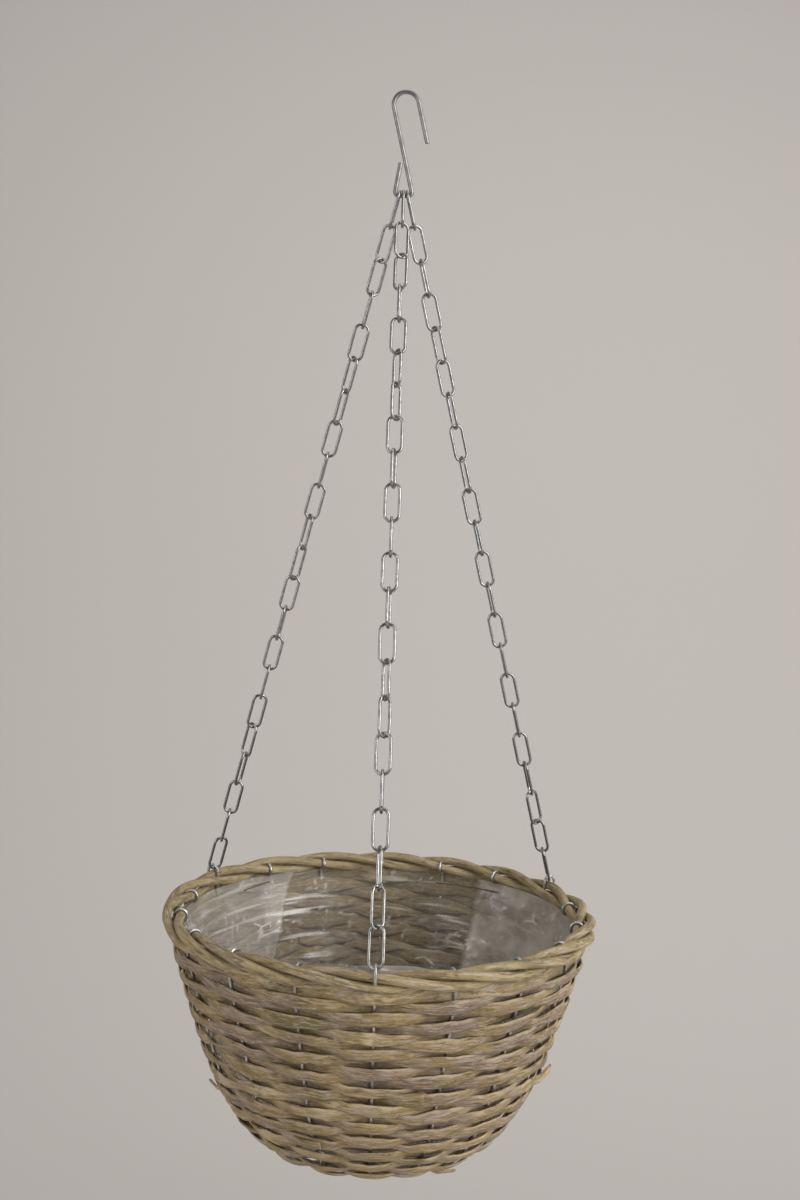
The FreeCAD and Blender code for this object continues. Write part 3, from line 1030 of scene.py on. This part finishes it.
    def row_data(
        self,
        angle: np.ndarray,
        down: np.ndarray,
        out: np.ndarray,
        half_width: np.ndarray,
        look: dict,
        row: int,
        side: np.ndarray,
    ) -> SkinData:
        """One closed row of strip.

        In words: the outline is turned by the row's roll and laid off the bowl's surface at the row's place.

        Args:
            angle: sample angles.
            down: the row's place.
            out: the row's swing outwards.
            half_width: half the strip's width.
            look: each row's own numbers.
            row: the row's number.
            side: from -1 inside to 1 outside.

        Returns:
            The mesh arrays.
        """
        outline = closed_section(self.section, 0.48, 0.4)
        across = outline[None, :, 0] * half_width[:, None]
        rise = outline[None, :, 1] * self.strip_thickness * look["crown"][row][:, None]
        roll = look["roll"][row][:, None]
        place = down[:, None] + across * np.cos(roll) - rise * np.sin(roll)
        lift = out[:, None] + across * np.sin(roll) + rise * np.cos(roll)
        points = surface_points(self.line, place, angle[:, None], lift)
        radius, _, _ = self.line.at(down)
        length = float(radius.mean()) * 2 * math.pi
        along = np.linspace(0, length, len(angle) + 1) + row * 1.7
        ring = np.concatenate([outline, outline[:1]])
        steps = np.linalg.norm(np.diff(ring, axis=0) * [self.grain_width / 2, self.strip_thickness], axis=1)
        around = np.concatenate([[0], np.cumsum(steps)])
        wide, thick = outline[None, :, 0], outline[None, :, 1]
        low_edge, high_edge = np.clip(wide, 0, 1) ** 3, np.clip(-wide, 0, 1) ** 3
        # Painted shade on outer faces where the strip passes behind the uprights and the crevices fall.
        hidden = np.clip(-0.35 - side, 0, 1)[:, None] * 0.5
        # Inner faces take the deep colour partly for their darker pith and partly as painted shade.
        inner_face = 0.5 * (thick < -0.1)
        # Painted shade: lower edges darker as light from above leaves them, upper edges a little darker.
        shade = np.clip(0.4 * low_edge + 0.08 * high_edge + hidden * (thick > 0) + inner_face, 0, 1)
        # Painted highlight: the upper edge of the outer face paler as light from above catches it, most where the
        # strip passes outside.
        painted_edge_highlight = high_edge * (thick > 0) * (0.5 + 0.5 * side[:, None])
        numbers = {key: look[key][row][:, None] for key in ("tone", "seed", "tint")}
        numbers.update({"shade": shade, "painted_edge_highlight": painted_edge_highlight})
        seam = -(STAKES // 2 + row % 2) * self.samples_per_stake
        numbers = {key: np.roll(np.broadcast_to(values, shade.shape), seam, axis=0) for key, values in numbers.items()}
        return tube_data(np.roll(points, seam, axis=0), along, around, numbers, closed=True)

    def hub_slats(self, rng: np.random.Generator) -> SkinData:
        """Two layers of short slats crossed at the middle of the base, where the weaving starts.

        In words: five parallel slats one way under five the other way, each as long as the chord of a small
        circle.

        Args:
            rng: the seeded source of numbers.

        Returns:
            The mesh arrays.
        """
        made = []
        outline = closed_section(self.section, 0.5, 0.5)
        wide, thick = outline[None, :, 0], outline[None, :, 1]
        reach = self.base_hub + 2 * MM
        for layer, turn in ((-1, self.slat_turn), (1, self.slat_turn + math.pi / 2)):
            for slat in range(self.slats):
                aside = (slat - self.slats // 2) * self.slat_pitch
                half = math.sqrt(max(reach**2 - aside**2, (6 * MM) ** 2))
                run = np.linspace(-half, half, 9)
                x, y = np.broadcast_arrays(run[:, None], aside + wide * self.slat_half)
                z = self.line.bottom + layer * self.slat_layer + thick * self.slat_thickness
                x, y = x * math.cos(turn) - y * math.sin(turn), x * math.sin(turn) + y * math.cos(turn)
                points = np.stack(np.broadcast_arrays(x, y, z), axis=-1)
                made.append(self.short_strip(points, run + slat, rng.normal(0.5, 0.2), wide))
        return joined(made)

    def short_strip(self, points: np.ndarray, along: np.ndarray, tone: float, wide: np.ndarray) -> SkinData:
        """An open piece of strip with darker edges.

        Args:
            points: (rings, section, 3).
            along: distance along it at each ring.
            tone: how pale it is.
            wide: place across the strip of each point of the section, -1 to 1.

        Returns:
            The mesh arrays.
        """
        tones = np.full(points.shape[:2], float(np.clip(tone, 0, 1)))
        numbers = willow_numbers(tones, np.broadcast_to(self.edge_shade * np.abs(wide) ** 4, tones.shape))
        around = np.linspace(0, self.strip_around, self.section + 1)
        return tube_data(points, along, around, numbers, closed=False)

    def loose_ends(self, rng: np.random.Generator) -> SkinData:
        """Cut ends of strips that stand proud of the wall, and thin slivers that lie on the film.

        In words: each end runs from beside one upright outwards over the wall and lifts off it with the square
        of its length.

        Args:
            rng: the seeded source of numbers.

        Returns:
            The mesh arrays.
        """
        made = []
        outline = closed_section(self.section, 0.5, 0.45)
        wide, thick = outline[None, :, 0], outline[None, :, 1]
        for end in LOOSE_ENDS:
            share = np.linspace(0, 1, 14)
            out = -1.5 * MM + 4.6 * MM * np.minimum(1, share * 2.2) + end.lift * MM * share**2
            radius = self.line.at(np.array([end.below * MM]))[0][0]
            turn = math.radians(end.degrees) + end.way * (share - 0.45) * (end.long + 9) * MM / radius
            down = end.below * MM - (1 + 1.2 * end.lift) * MM * share
            half_width = end.half * MM * np.minimum(1, 0.8 + share)
            across, rise = wide * half_width[:, None], thick * self.end_thickness
            roll = math.radians(float(rng.uniform(-self.end_roll, self.end_roll)))
            place = down[:, None] + across * math.cos(roll)
            points = surface_points(self.line, place, turn[:, None], out[:, None] + rise + across * math.sin(roll))
            along = share * end.long * MM + end.degrees
            made.append(self.short_strip(points[:: end.way], along, rng.normal(0.65, 0.2), wide))
        for first, last, high, low in self.slivers:
            share = np.linspace(0, 1, 12)
            turn, down = np.radians(first + (last - first) * share), (high + (low - high) * share) * MM
            place = down[:, None] + wide * self.sliver_half
            points = surface_points(self.line, place, turn[:, None], thick * self.sliver_half - self.sliver_inside)
            flat = np.zeros(points.shape[:2])
            around = np.linspace(0, 4 * MM, self.section + 1)
            numbers = willow_numbers(flat, flat + 1)
            way = 1 if last > first else -1
            made.append(tube_data(points[::way], share * 30 * MM, around, numbers, closed=False))
        return joined(made)


@dataclass
class RimWale:
    """Three whole willow rods laid round each other over the tops of the uprights."""

    middle: float
    finish: bpy.types.Material
    steps_per_stake: int = 24
    section: int = 20
    end_gap: float = math.radians(0.6)
    thinning: float = 0.05
    buds: int = 11
    bud_swell: float = 0.035
    bud_length: float = 0.09
    flattening: float = 0.03
    seed: int = 5

    def place(self, stakes: np.ndarray) -> tuple:
        """Where a rod lies in the rim's section, so many stakes after it passed inside one.

        In words: it swings out and in once every three stakes and up and down with it, so that it is inside
        one stake and outside the next two.

        Args:
            stakes: number of stakes since the rod was inside one.

        Returns:
            Arrays of distance outwards and upwards from the rim's middle line.
        """
        phase = math.pi - 2 * math.pi / 3 * stakes
        swing = (ROD_OUTMOST + ROD_TO_STAKE) / 2
        middle = (ROD_OUTMOST - ROD_TO_STAKE) / 2
        squeeze = (ROD_TO_STAKE - middle - swing * math.cos(math.pi / 3)) / (math.cos(2 * math.pi / 3) - 1)
        out = middle + swing * np.cos(phase) + squeeze * (np.cos(2 * phase) - 1)
        return out, rod_rise() * np.sin(phase)

    def centre(self, first: int, stakes: np.ndarray) -> np.ndarray:
        """Points of the middle line of the rod that passes inside upright first, so many stakes after it."""
        out, up = self.place(stakes)
        return ring_points(RIM_RADIUS + out, (first + stakes) * STAKE_PITCH, self.middle + up)

    def build(self) -> list:
        """Builds the three rods.

        In words: a circle carried along the rod's line, its radius swelling at buds and thinning to the tip.

        Returns:
            The pieces with the CAD node that each stands for.
        """
        rng = np.random.default_rng(self.seed)
        made = []
        gap = self.end_gap / STAKE_PITCH
        for first in range(3):
            stakes = np.linspace(gap / 2, STAKES - gap / 2, STAKES * self.steps_per_stake + 1)
            points = self.centre(first, stakes)
            forward = self.centre(first, stakes + 0.01) - self.centre(first, stakes - 0.01)
            forward /= np.linalg.norm(forward, axis=1, keepdims=True)
            side = np.cross(np.array([0.0, 0.0, 1.0]), forward)
            side /= np.linalg.norm(side, axis=1, keepdims=True)
            up = np.cross(forward, side)
            turn = np.linspace(0, 2 * math.pi, self.section, endpoint=False)
            angle = (first + stakes) * STAKE_PITCH
            swell = 1 - self.thinning * (0.5 + 0.5 * wander(rng, angle, 9, 1)[0])
            for bud in rng.uniform(1, STAKES - 1, size=self.buds):
                swell = swell + self.bud_swell * np.exp(-(((stakes - bud) / self.bud_length) ** 2))
            flat = np.sin(2 * turn[None, :] + 3 * stakes[:, None]) * np.sin(stakes[:, None] * 1.3 + first)
            radius = ROD_RADIUS * swell[:, None] * (1 + self.flattening * flat)
            ring = points[:, None, :] + radius[:, :, None] * (
                np.cos(turn)[None, :, None] * side[:, None, :] + np.sin(turn)[None, :, None] * up[:, None, :]
            )
            back = 0.5 - 0.5 * np.cos(angle)
            tone = np.clip(0.18 + 0.3 * back + 0.16 * wander(rng, angle, 7, 1)[0] + 0.08 * first, 0, 1)
            tone = np.broadcast_to(tone[:, None], radius.shape)
            shade = np.clip(0.22 * np.cos(turn - 1.5 * math.pi)[None, :] + 0 * radius, 0, 1)
            seed = np.full(radius.shape, 0.2 + 0.3 * first)
            along = (first + stakes) * STAKE_PITCH * RIM_RADIUS + first * 2.3
            around = np.linspace(0, 2 * math.pi * ROD_RADIUS, self.section + 1)
            data = tube_data(ring[:, ::-1], along, around, willow_numbers(tone, shade, seed), closed=False)
            made.append((data.piece(f"willow_rod_{first + 1}", self.finish), f"rim_rod_{first + 1}"))
        return made


@dataclass
class FilmLiner:
    """A round of clear film pressed into the bowl, its spare width laid over in two wide pleats."""

    line: BowlLine
    finish: bpy.types.Material
    columns: int = 660
    rows: int = 140
    off_wall: float = 4.4 * MM
    layer_gap: float = 0.7 * MM
    pleats: tuple = ((210, 62), (93, 52))
    glints: tuple = ((-53, 62), (-54, 77), (-49, 78), (-48, 89))
    glint_half: float = math.radians(4)
    glint_run: float = 5 * MM
    over_rim: float = 3.5 * MM
    short_of_middle: float = 2 * MM
    flap_height: float = 9 * MM
    flap_half: float = math.radians(16)
    flap_middle: float = 3.0
    wave_height: float = 1.1 * MM
    ridge_height: float = 0.9 * MM
    seed: int = 23

    def rounds(self, path: np.ndarray, share: np.ndarray) -> tuple:
        """Where the film lies round the bowl, with its pleats.

        In words: round the rim the film goes forward, turns back at a pleat's edge and forward again.
        A pleat narrows evenly from the rim to nothing at the middle of the base.

        Args:
            path: share of the way round the film, 0 to 1.
            share: share of the way from the rim to the middle.

        Returns:
            The angle in radians, and the number of layers under each point, both (path, share).
        """
        marks, angles, layers = [0.0], [0.0], [0.0]
        for start, wide in sorted(self.pleats):
            for angle, layer in ((start + wide, 0), (start, 1), (start + wide, 2)):
                marks.append(marks[-1] + abs(angle - angles[-1]))
                angles.append(angle)
                layers.append(layer)
            marks.append(marks[-1] + 2)
            angles.append(start + wide + 2)
            layers.append(0)
        marks.append(marks[-1] + 360 - angles[-1])
        angles.append(360.0)
        layers.append(0)
        marks, angles, layers = np.array(marks) / marks[-1], np.array(angles), np.array(layers)
        folded = np.interp(path, marks, angles)
        straight = path * 360
        layer = np.interp(path, marks, layers)
        keep = np.clip(1 - share, 0, 1) ** 0.7
        turn = straight[:, None] + (folded - straight)[:, None] * keep[None, :]
        return np.radians(turn), layer[:, None] * keep[None, :]

    def build(self) -> list:
        """Builds the film.

        In words: the bowl's line moved inwards, plus low random waves and sharp ridges that stand for creases.
        At the front it stands up and leans in. Haze grows with the pleats' layers and where it stands up. The sharp
        ridges are drawn whiter, partly for stress whitening and partly as painted highlight, and glints are painted
        highlights drawn as short whiter creases at the weave's gaps.

        Returns:
            The piece with the CAD node that it stands for.
        """
        rng = np.random.default_rng(self.seed)
        path = np.linspace(0, 1, self.columns + 1)
        share = np.linspace(0, 1, self.rows + 1) ** 0.92
        turn, layer = self.rounds(path, share)
        length = self.line.length()
        top = self.over_rim + self.flap_height * self.front_flap(turn[:, 0])
        down = share[None, :] * (length - self.short_of_middle) - top[:, None] * (1 - share[None, :]) ** 6
        waves = self.field(rng, turn, down, 14, 26 * MM, 60 * MM)
        ridges = self.field(rng, turn, down, 26, 9 * MM, 34 * MM)
        sharp = np.clip(1 - np.abs(ridges) / 0.12, 0, 1) ** 1.5 * np.clip(waves + 0.35, 0, 1)
        fade = np.clip(down / (8 * MM), 0, 1)
        creased = self.wave_height * (waves + 0.4).clip(0) + self.ridge_height * sharp
        inwards = self.off_wall + layer * self.layer_gap + fade * creased
        lean_in = self.flap_height * self.front_flap(turn) * np.exp(-((np.maximum(down + 3 * MM, 0) / (9 * MM)) ** 2))
        points = surface_points(self.line, down, turn, -inwards - lean_in)
        # The crease number whitens the film on sharp ridges, partly as stress whitening and partly as painted
        # highlight, and at the glints as painted highlight alone.
        crease_and_highlight = np.clip(sharp * 0.8, 0, 1)
        for degrees, run in self.glints:
            beside = (apart(turn, degrees) / self.glint_half) ** 2
            crease_and_highlight = np.maximum(crease_and_highlight, np.exp(-beside - ((down - run * MM) / self.glint_run) ** 2))
        standing = self.front_flap(turn) * np.exp(-((np.maximum(down, 0) / (3 * MM)) ** 2))
        haze = np.clip(layer / 2 * (1.15 + 0.8 * np.sin(turn)) + 0.12 + 1.2 * standing, 0, 2)
        data = self.grid_data(points, turn, down, {"crease_and_highlight": crease_and_highlight, "haze": haze})
        film = data.piece("film_sheet", self.finish)
        return [(film, "film_liner")]

    @staticmethod
    def face_areas(points: np.ndarray) -> np.ndarray:
        """The area of each face of a grid of points."""
        a, b = points[1:, :-1] - points[:-1, :-1], points[:-1, 1:] - points[:-1, :-1]
        return np.linalg.norm(np.cross(a, b), axis=-1)

    def front_flap(self, turn: np.ndarray) -> np.ndarray:
        """How far the film stands up and leans in behind the front of the rim, from 0 to 1."""
        return np.exp(-((apart(turn, self.flap_middle) / self.flap_half) ** 4))

    @staticmethod
    def field(
        rng: np.random.Generator, turn: np.ndarray, down: np.ndarray, count: int, fine: float, coarse: float
    ) -> np.ndarray:
        """Smooth random waves over the film, about -1 to 1.

        In words: a sum of plane waves with random headings, lengths and phases, read on distance round and down.

        Args:
            rng: the seeded source of numbers.
            turn: angles.
            down: distances down the line.
            count: number of waves.
            fine: shortest wave.
            coarse: longest wave.

        Returns:
            The sum at each point.
        """
        total = np.zeros(turn.shape)
        x = turn * 120 * MM
        for _ in range(count):
            heading, size = rng.uniform(0, math.pi), rng.uniform(fine, coarse)
            phase = rng.uniform(0, 2 * math.pi)
            total += np.sin(2 * math.pi / size * (x * math.cos(heading) + down * math.sin(heading)) + phase)
        return total / math.sqrt(count / 2) / 1.6

    def grid_data(self, points: np.ndarray, turn: np.ndarray, down: np.ndarray, numbers: dict) -> SkinData:
        """The film's faces, with distances as UV.

        Args:
            points: the grid of points, round by down.
            turn: their angles.
            down: their distances down the line.
            numbers: per-point numbers.

        Returns:
            The mesh arrays.
        """
        wide, high = points.shape[:2]
        corner = grid_corners(wide, high)
        faces = np.stack([a * high + b for a, b in corner], axis=1)
        x = np.linspace(0, 0.9, wide)[:, None] + 0 * down
        uv = np.stack([np.stack([x[a, b], down[a, b]], axis=1) for a, b in corner], axis=1)
        flat = {key: np.broadcast_to(values, turn.shape).ravel() for key, values in numbers.items()}
        return SkinData(points.reshape(-1, 3), faces, uv.reshape(-1, 2), flat)


@dataclass
class Metalwork:
    """The CAD's own chain links, hook and uprights, given their finishes."""

    zinc: bpy.types.Material
    hook: bpy.types.Material
    wire: bpy.types.Material

    def dress(self) -> int:
        """Gives every metal node its finish.

        Returns:
            The number of nodes dressed.
        """
        count = 0
        for name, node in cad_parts.items():
            if "link" in name:
                finish = self.zinc
            elif name == "s_hook":
                finish = self.hook
            elif "upright" in name:
                finish = self.wire
            else:
                continue
            node.data.materials.clear()
            node.data.materials.append(finish)
            count += 1
        return count


@dataclass
class Studio:
    """A pale sweep behind and under the bowl, soft lamps and the camera at the photograph's place."""

    rim: float
    sweep_colour: tuple = (0.675, 0.65, 0.635, 1)
    floor_drop: float = 0.9
    sweep_bend: float = 1.2
    sweep_back: float = 1.6
    sweep_front: float = -3.5
    sweep_height: float = 5.0
    sweep_half: float = 4.0
    camera_place: tuple = (7.0 * MM, -941.8 * MM, 275.2 * MM)
    camera_pitch: float = -0.0599
    camera_roll: float = 0.034
    focal_px: float = 1370.8
    image_height_px: float = 1200.0

    def build(self) -> None:
        """Builds the sweep, the lamps, the world and the camera."""
        self.sweep()
        self.dark_card()
        self.lamps()
        self.world()
        self.camera()

    def sweep(self) -> None:
        """The floor, curving up into the backdrop.

        In words: a straight floor, a quarter circle and a straight wall, carried along X.
        """
        floor = CAD_BOX[0][2] - self.floor_drop
        bend, back = self.sweep_bend, self.sweep_back
        turn = np.linspace(0, math.pi / 2, 24)
        y = np.concatenate([[self.sweep_front], back + bend * np.sin(turn), [back + bend]])
        z = np.concatenate([[floor], floor + bend - bend * np.cos(turn), [floor + self.sweep_height]])
        x = np.linspace(-self.sweep_half, self.sweep_half, 9)
        grid = np.stack(np.broadcast_arrays(x[None, :], y[:, None], z[:, None]), axis=-1)
        rows, columns = grid.shape[:2]
        faces = np.stack([a * columns + b for a, b in grid_corners(rows, columns)], axis=1)
        finish, _, shader = new_material("pale_sweep")
        shader.inputs["Base Color"].default_value = self.sweep_colour
        shader.inputs["Roughness"].default_value = 0.95
        shader.inputs["Specular IOR Level"].default_value = 0.0
        data = SkinData(grid.reshape(-1, 3), faces, np.zeros((faces.size, 2)))
        data.piece("studio_sweep", finish)

    def dark_card(self) -> None:
        """A dark upright card behind the camera, which the wire mirrors as its dark parts.

        In words: one flat rectangle across X and Z, which no camera sees, also from behind.
        """
        half, low, high, y = 1.3, self.rim - 0.7, self.rim + 1.9, -2.1
        corners = np.array([[-half, y, low], [-half, y, high], [half, y, high], [half, y, low]])
        finish, _, shader = new_material("dark_card")
        shader.inputs["Base Color"].default_value = (0.03, 0.03, 0.03, 1)
        shader.inputs["Roughness"].default_value = 1.0
        data = SkinData(corners, np.array([[0, 1, 2, 3]]), np.zeros((4, 2)))
        card = data.piece("studio_card", finish)
        card.visible_camera = False

    def lamp(self, name: str, place: tuple, size: float, power: float, colour: tuple) -> None:
        """One soft square lamp aimed at the bowl.

        Args:
            name: its name.
            place: where it hangs.
            size: its side in metres.
            power: watts.
            colour: its colour.
        """
        data = bpy.data.lights.new(name, "AREA")
        data.size, data.energy, data.color = size, power, colour
        made = bpy.data.objects.new(name, data)
        made.location = place
        aim = Vector((0, 0, self.rim + 0.1)) - Vector(place)
        made.rotation_euler = aim.to_track_quat("-Z", "Y").to_euler()
        bpy.context.scene.collection.objects.link(made)

    def lamps(self) -> None:
        """A main lamp from the upper right front, a weaker warm one from the left and a weak one from above."""
        self.lamp("key", (2.1, -1.45, 0.6), size=2.6, power=102, colour=(1.0, 0.98, 0.95))
        self.lamp("fill", (-2.0, -1.7, 0.1), size=2.2, power=37, colour=(1.0, 0.95, 0.87))
        self.lamp("top", (0.3, 0.2, 1.8), size=1.8, power=18, colour=(1.0, 0.99, 0.97))

    def world(self) -> None:
        """A plain grey surround."""
        world = bpy.data.worlds.new("surround")
        bpy.context.scene.world = world
        world.use_nodes = True
        background = world.node_tree.nodes["Background"]
        background.inputs["Color"].default_value = (0.80, 0.78, 0.76, 1)
        background.inputs["Strength"].default_value = 0.24

    def camera(self) -> None:
        """The camera where the photograph was taken, as fitted to the rim, the bowl and the chains."""
        data = bpy.data.cameras.new("camera")
        data.sensor_fit = "VERTICAL"
        data.sensor_height = 36.0
        data.lens = 36.0 * self.focal_px / self.image_height_px
        made = bpy.data.objects.new("camera", data)
        x, y, z = self.camera_place
        made.location = (x, y, self.rim + z)
        level = Euler((math.pi / 2 + self.camera_pitch, 0, 0)).to_matrix()
        made.rotation_euler = (level @ Euler((0, 0, self.camera_roll)).to_matrix()).to_euler()
        bpy.context.scene.collection.objects.link(made)
        bpy.context.scene.camera = made


def settle(pieces: list) -> None:
    """Makes each piece ride on the basket and stand for its CAD node.

    Args:
        pieces: pairs of piece and CAD node name or None.
    """
    for piece, node in pieces:
        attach(piece, "basket")
        if node:
            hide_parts(node)
        log.info("%s: %d faces", piece.name, len(piece.data.polygons))


def main() -> None:
    """Builds the whole scene, one sub-assembly after another."""
    rim = rim_height()
    wall_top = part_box("woven_wall")[1][2]
    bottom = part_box("woven_base")[0][2] + WEAVE_HALF
    line = BowlLine(top=wall_top, bottom=bottom)
    grain, wear = willow_grain_group(), metal_wear_group()
    strip_finish = WillowFinish(
        "split_willow",
        deep=(0.05, 0.036, 0.02, 1),
        olive=(0.155, 0.132, 0.052, 1),
        tan=(0.275, 0.2, 0.09, 1),
        pale=(0.56, 0.46, 0.28, 1),
        wash=(0.40, 0.34, 0.30, 1),
        cut=Cut.SPLIT,
    )
    rod_finish = WillowFinish(
        "rim_willow",
        deep=(0.05, 0.035, 0.018, 1),
        olive=(0.17, 0.14, 0.07, 1),
        tan=(0.32, 0.25, 0.125, 1),
        pale=(0.50, 0.41, 0.24, 1),
        wash=(0.42, 0.37, 0.30, 1),
        cut=Cut.WHOLE,
    )
    settle(WovenBowl(line, strip_finish.material(grain)).build())
    settle(RimWale(rim, rod_finish.material(grain)).build())
    film_finish = FilmFinish("clear_film", (0.76, 0.73, 0.68, 1), clear=0.05, milky=0.42, roughness=0.12)
    settle(FilmLiner(line, film_finish.material()).build())
    metal = Metalwork(
        zinc=ZincFinish("chain_zinc", (0.37, 0.37, 0.365, 1), (0.26, 0.26, 0.26, 1), 0.26, 0.38).material(wear),
        hook=ZincFinish(
            "hook_zinc", (0.28, 0.275, 0.27, 1), (0.21, 0.205, 0.2, 1), 0.38, 0.48, relief=0.0
        ).material(wear),
        wire=ZincFinish("upright_wire", (0.55, 0.54, 0.54, 1), (0.36, 0.35, 0.35, 1), 0.35, 0.6).material(wear),
    )
    log.info("metal nodes dressed: %d", metal.dress())
    Studio(rim).build()
    bpy.context.scene.view_settings.view_transform = "Standard"


if __name__ == "__main__":
    main()
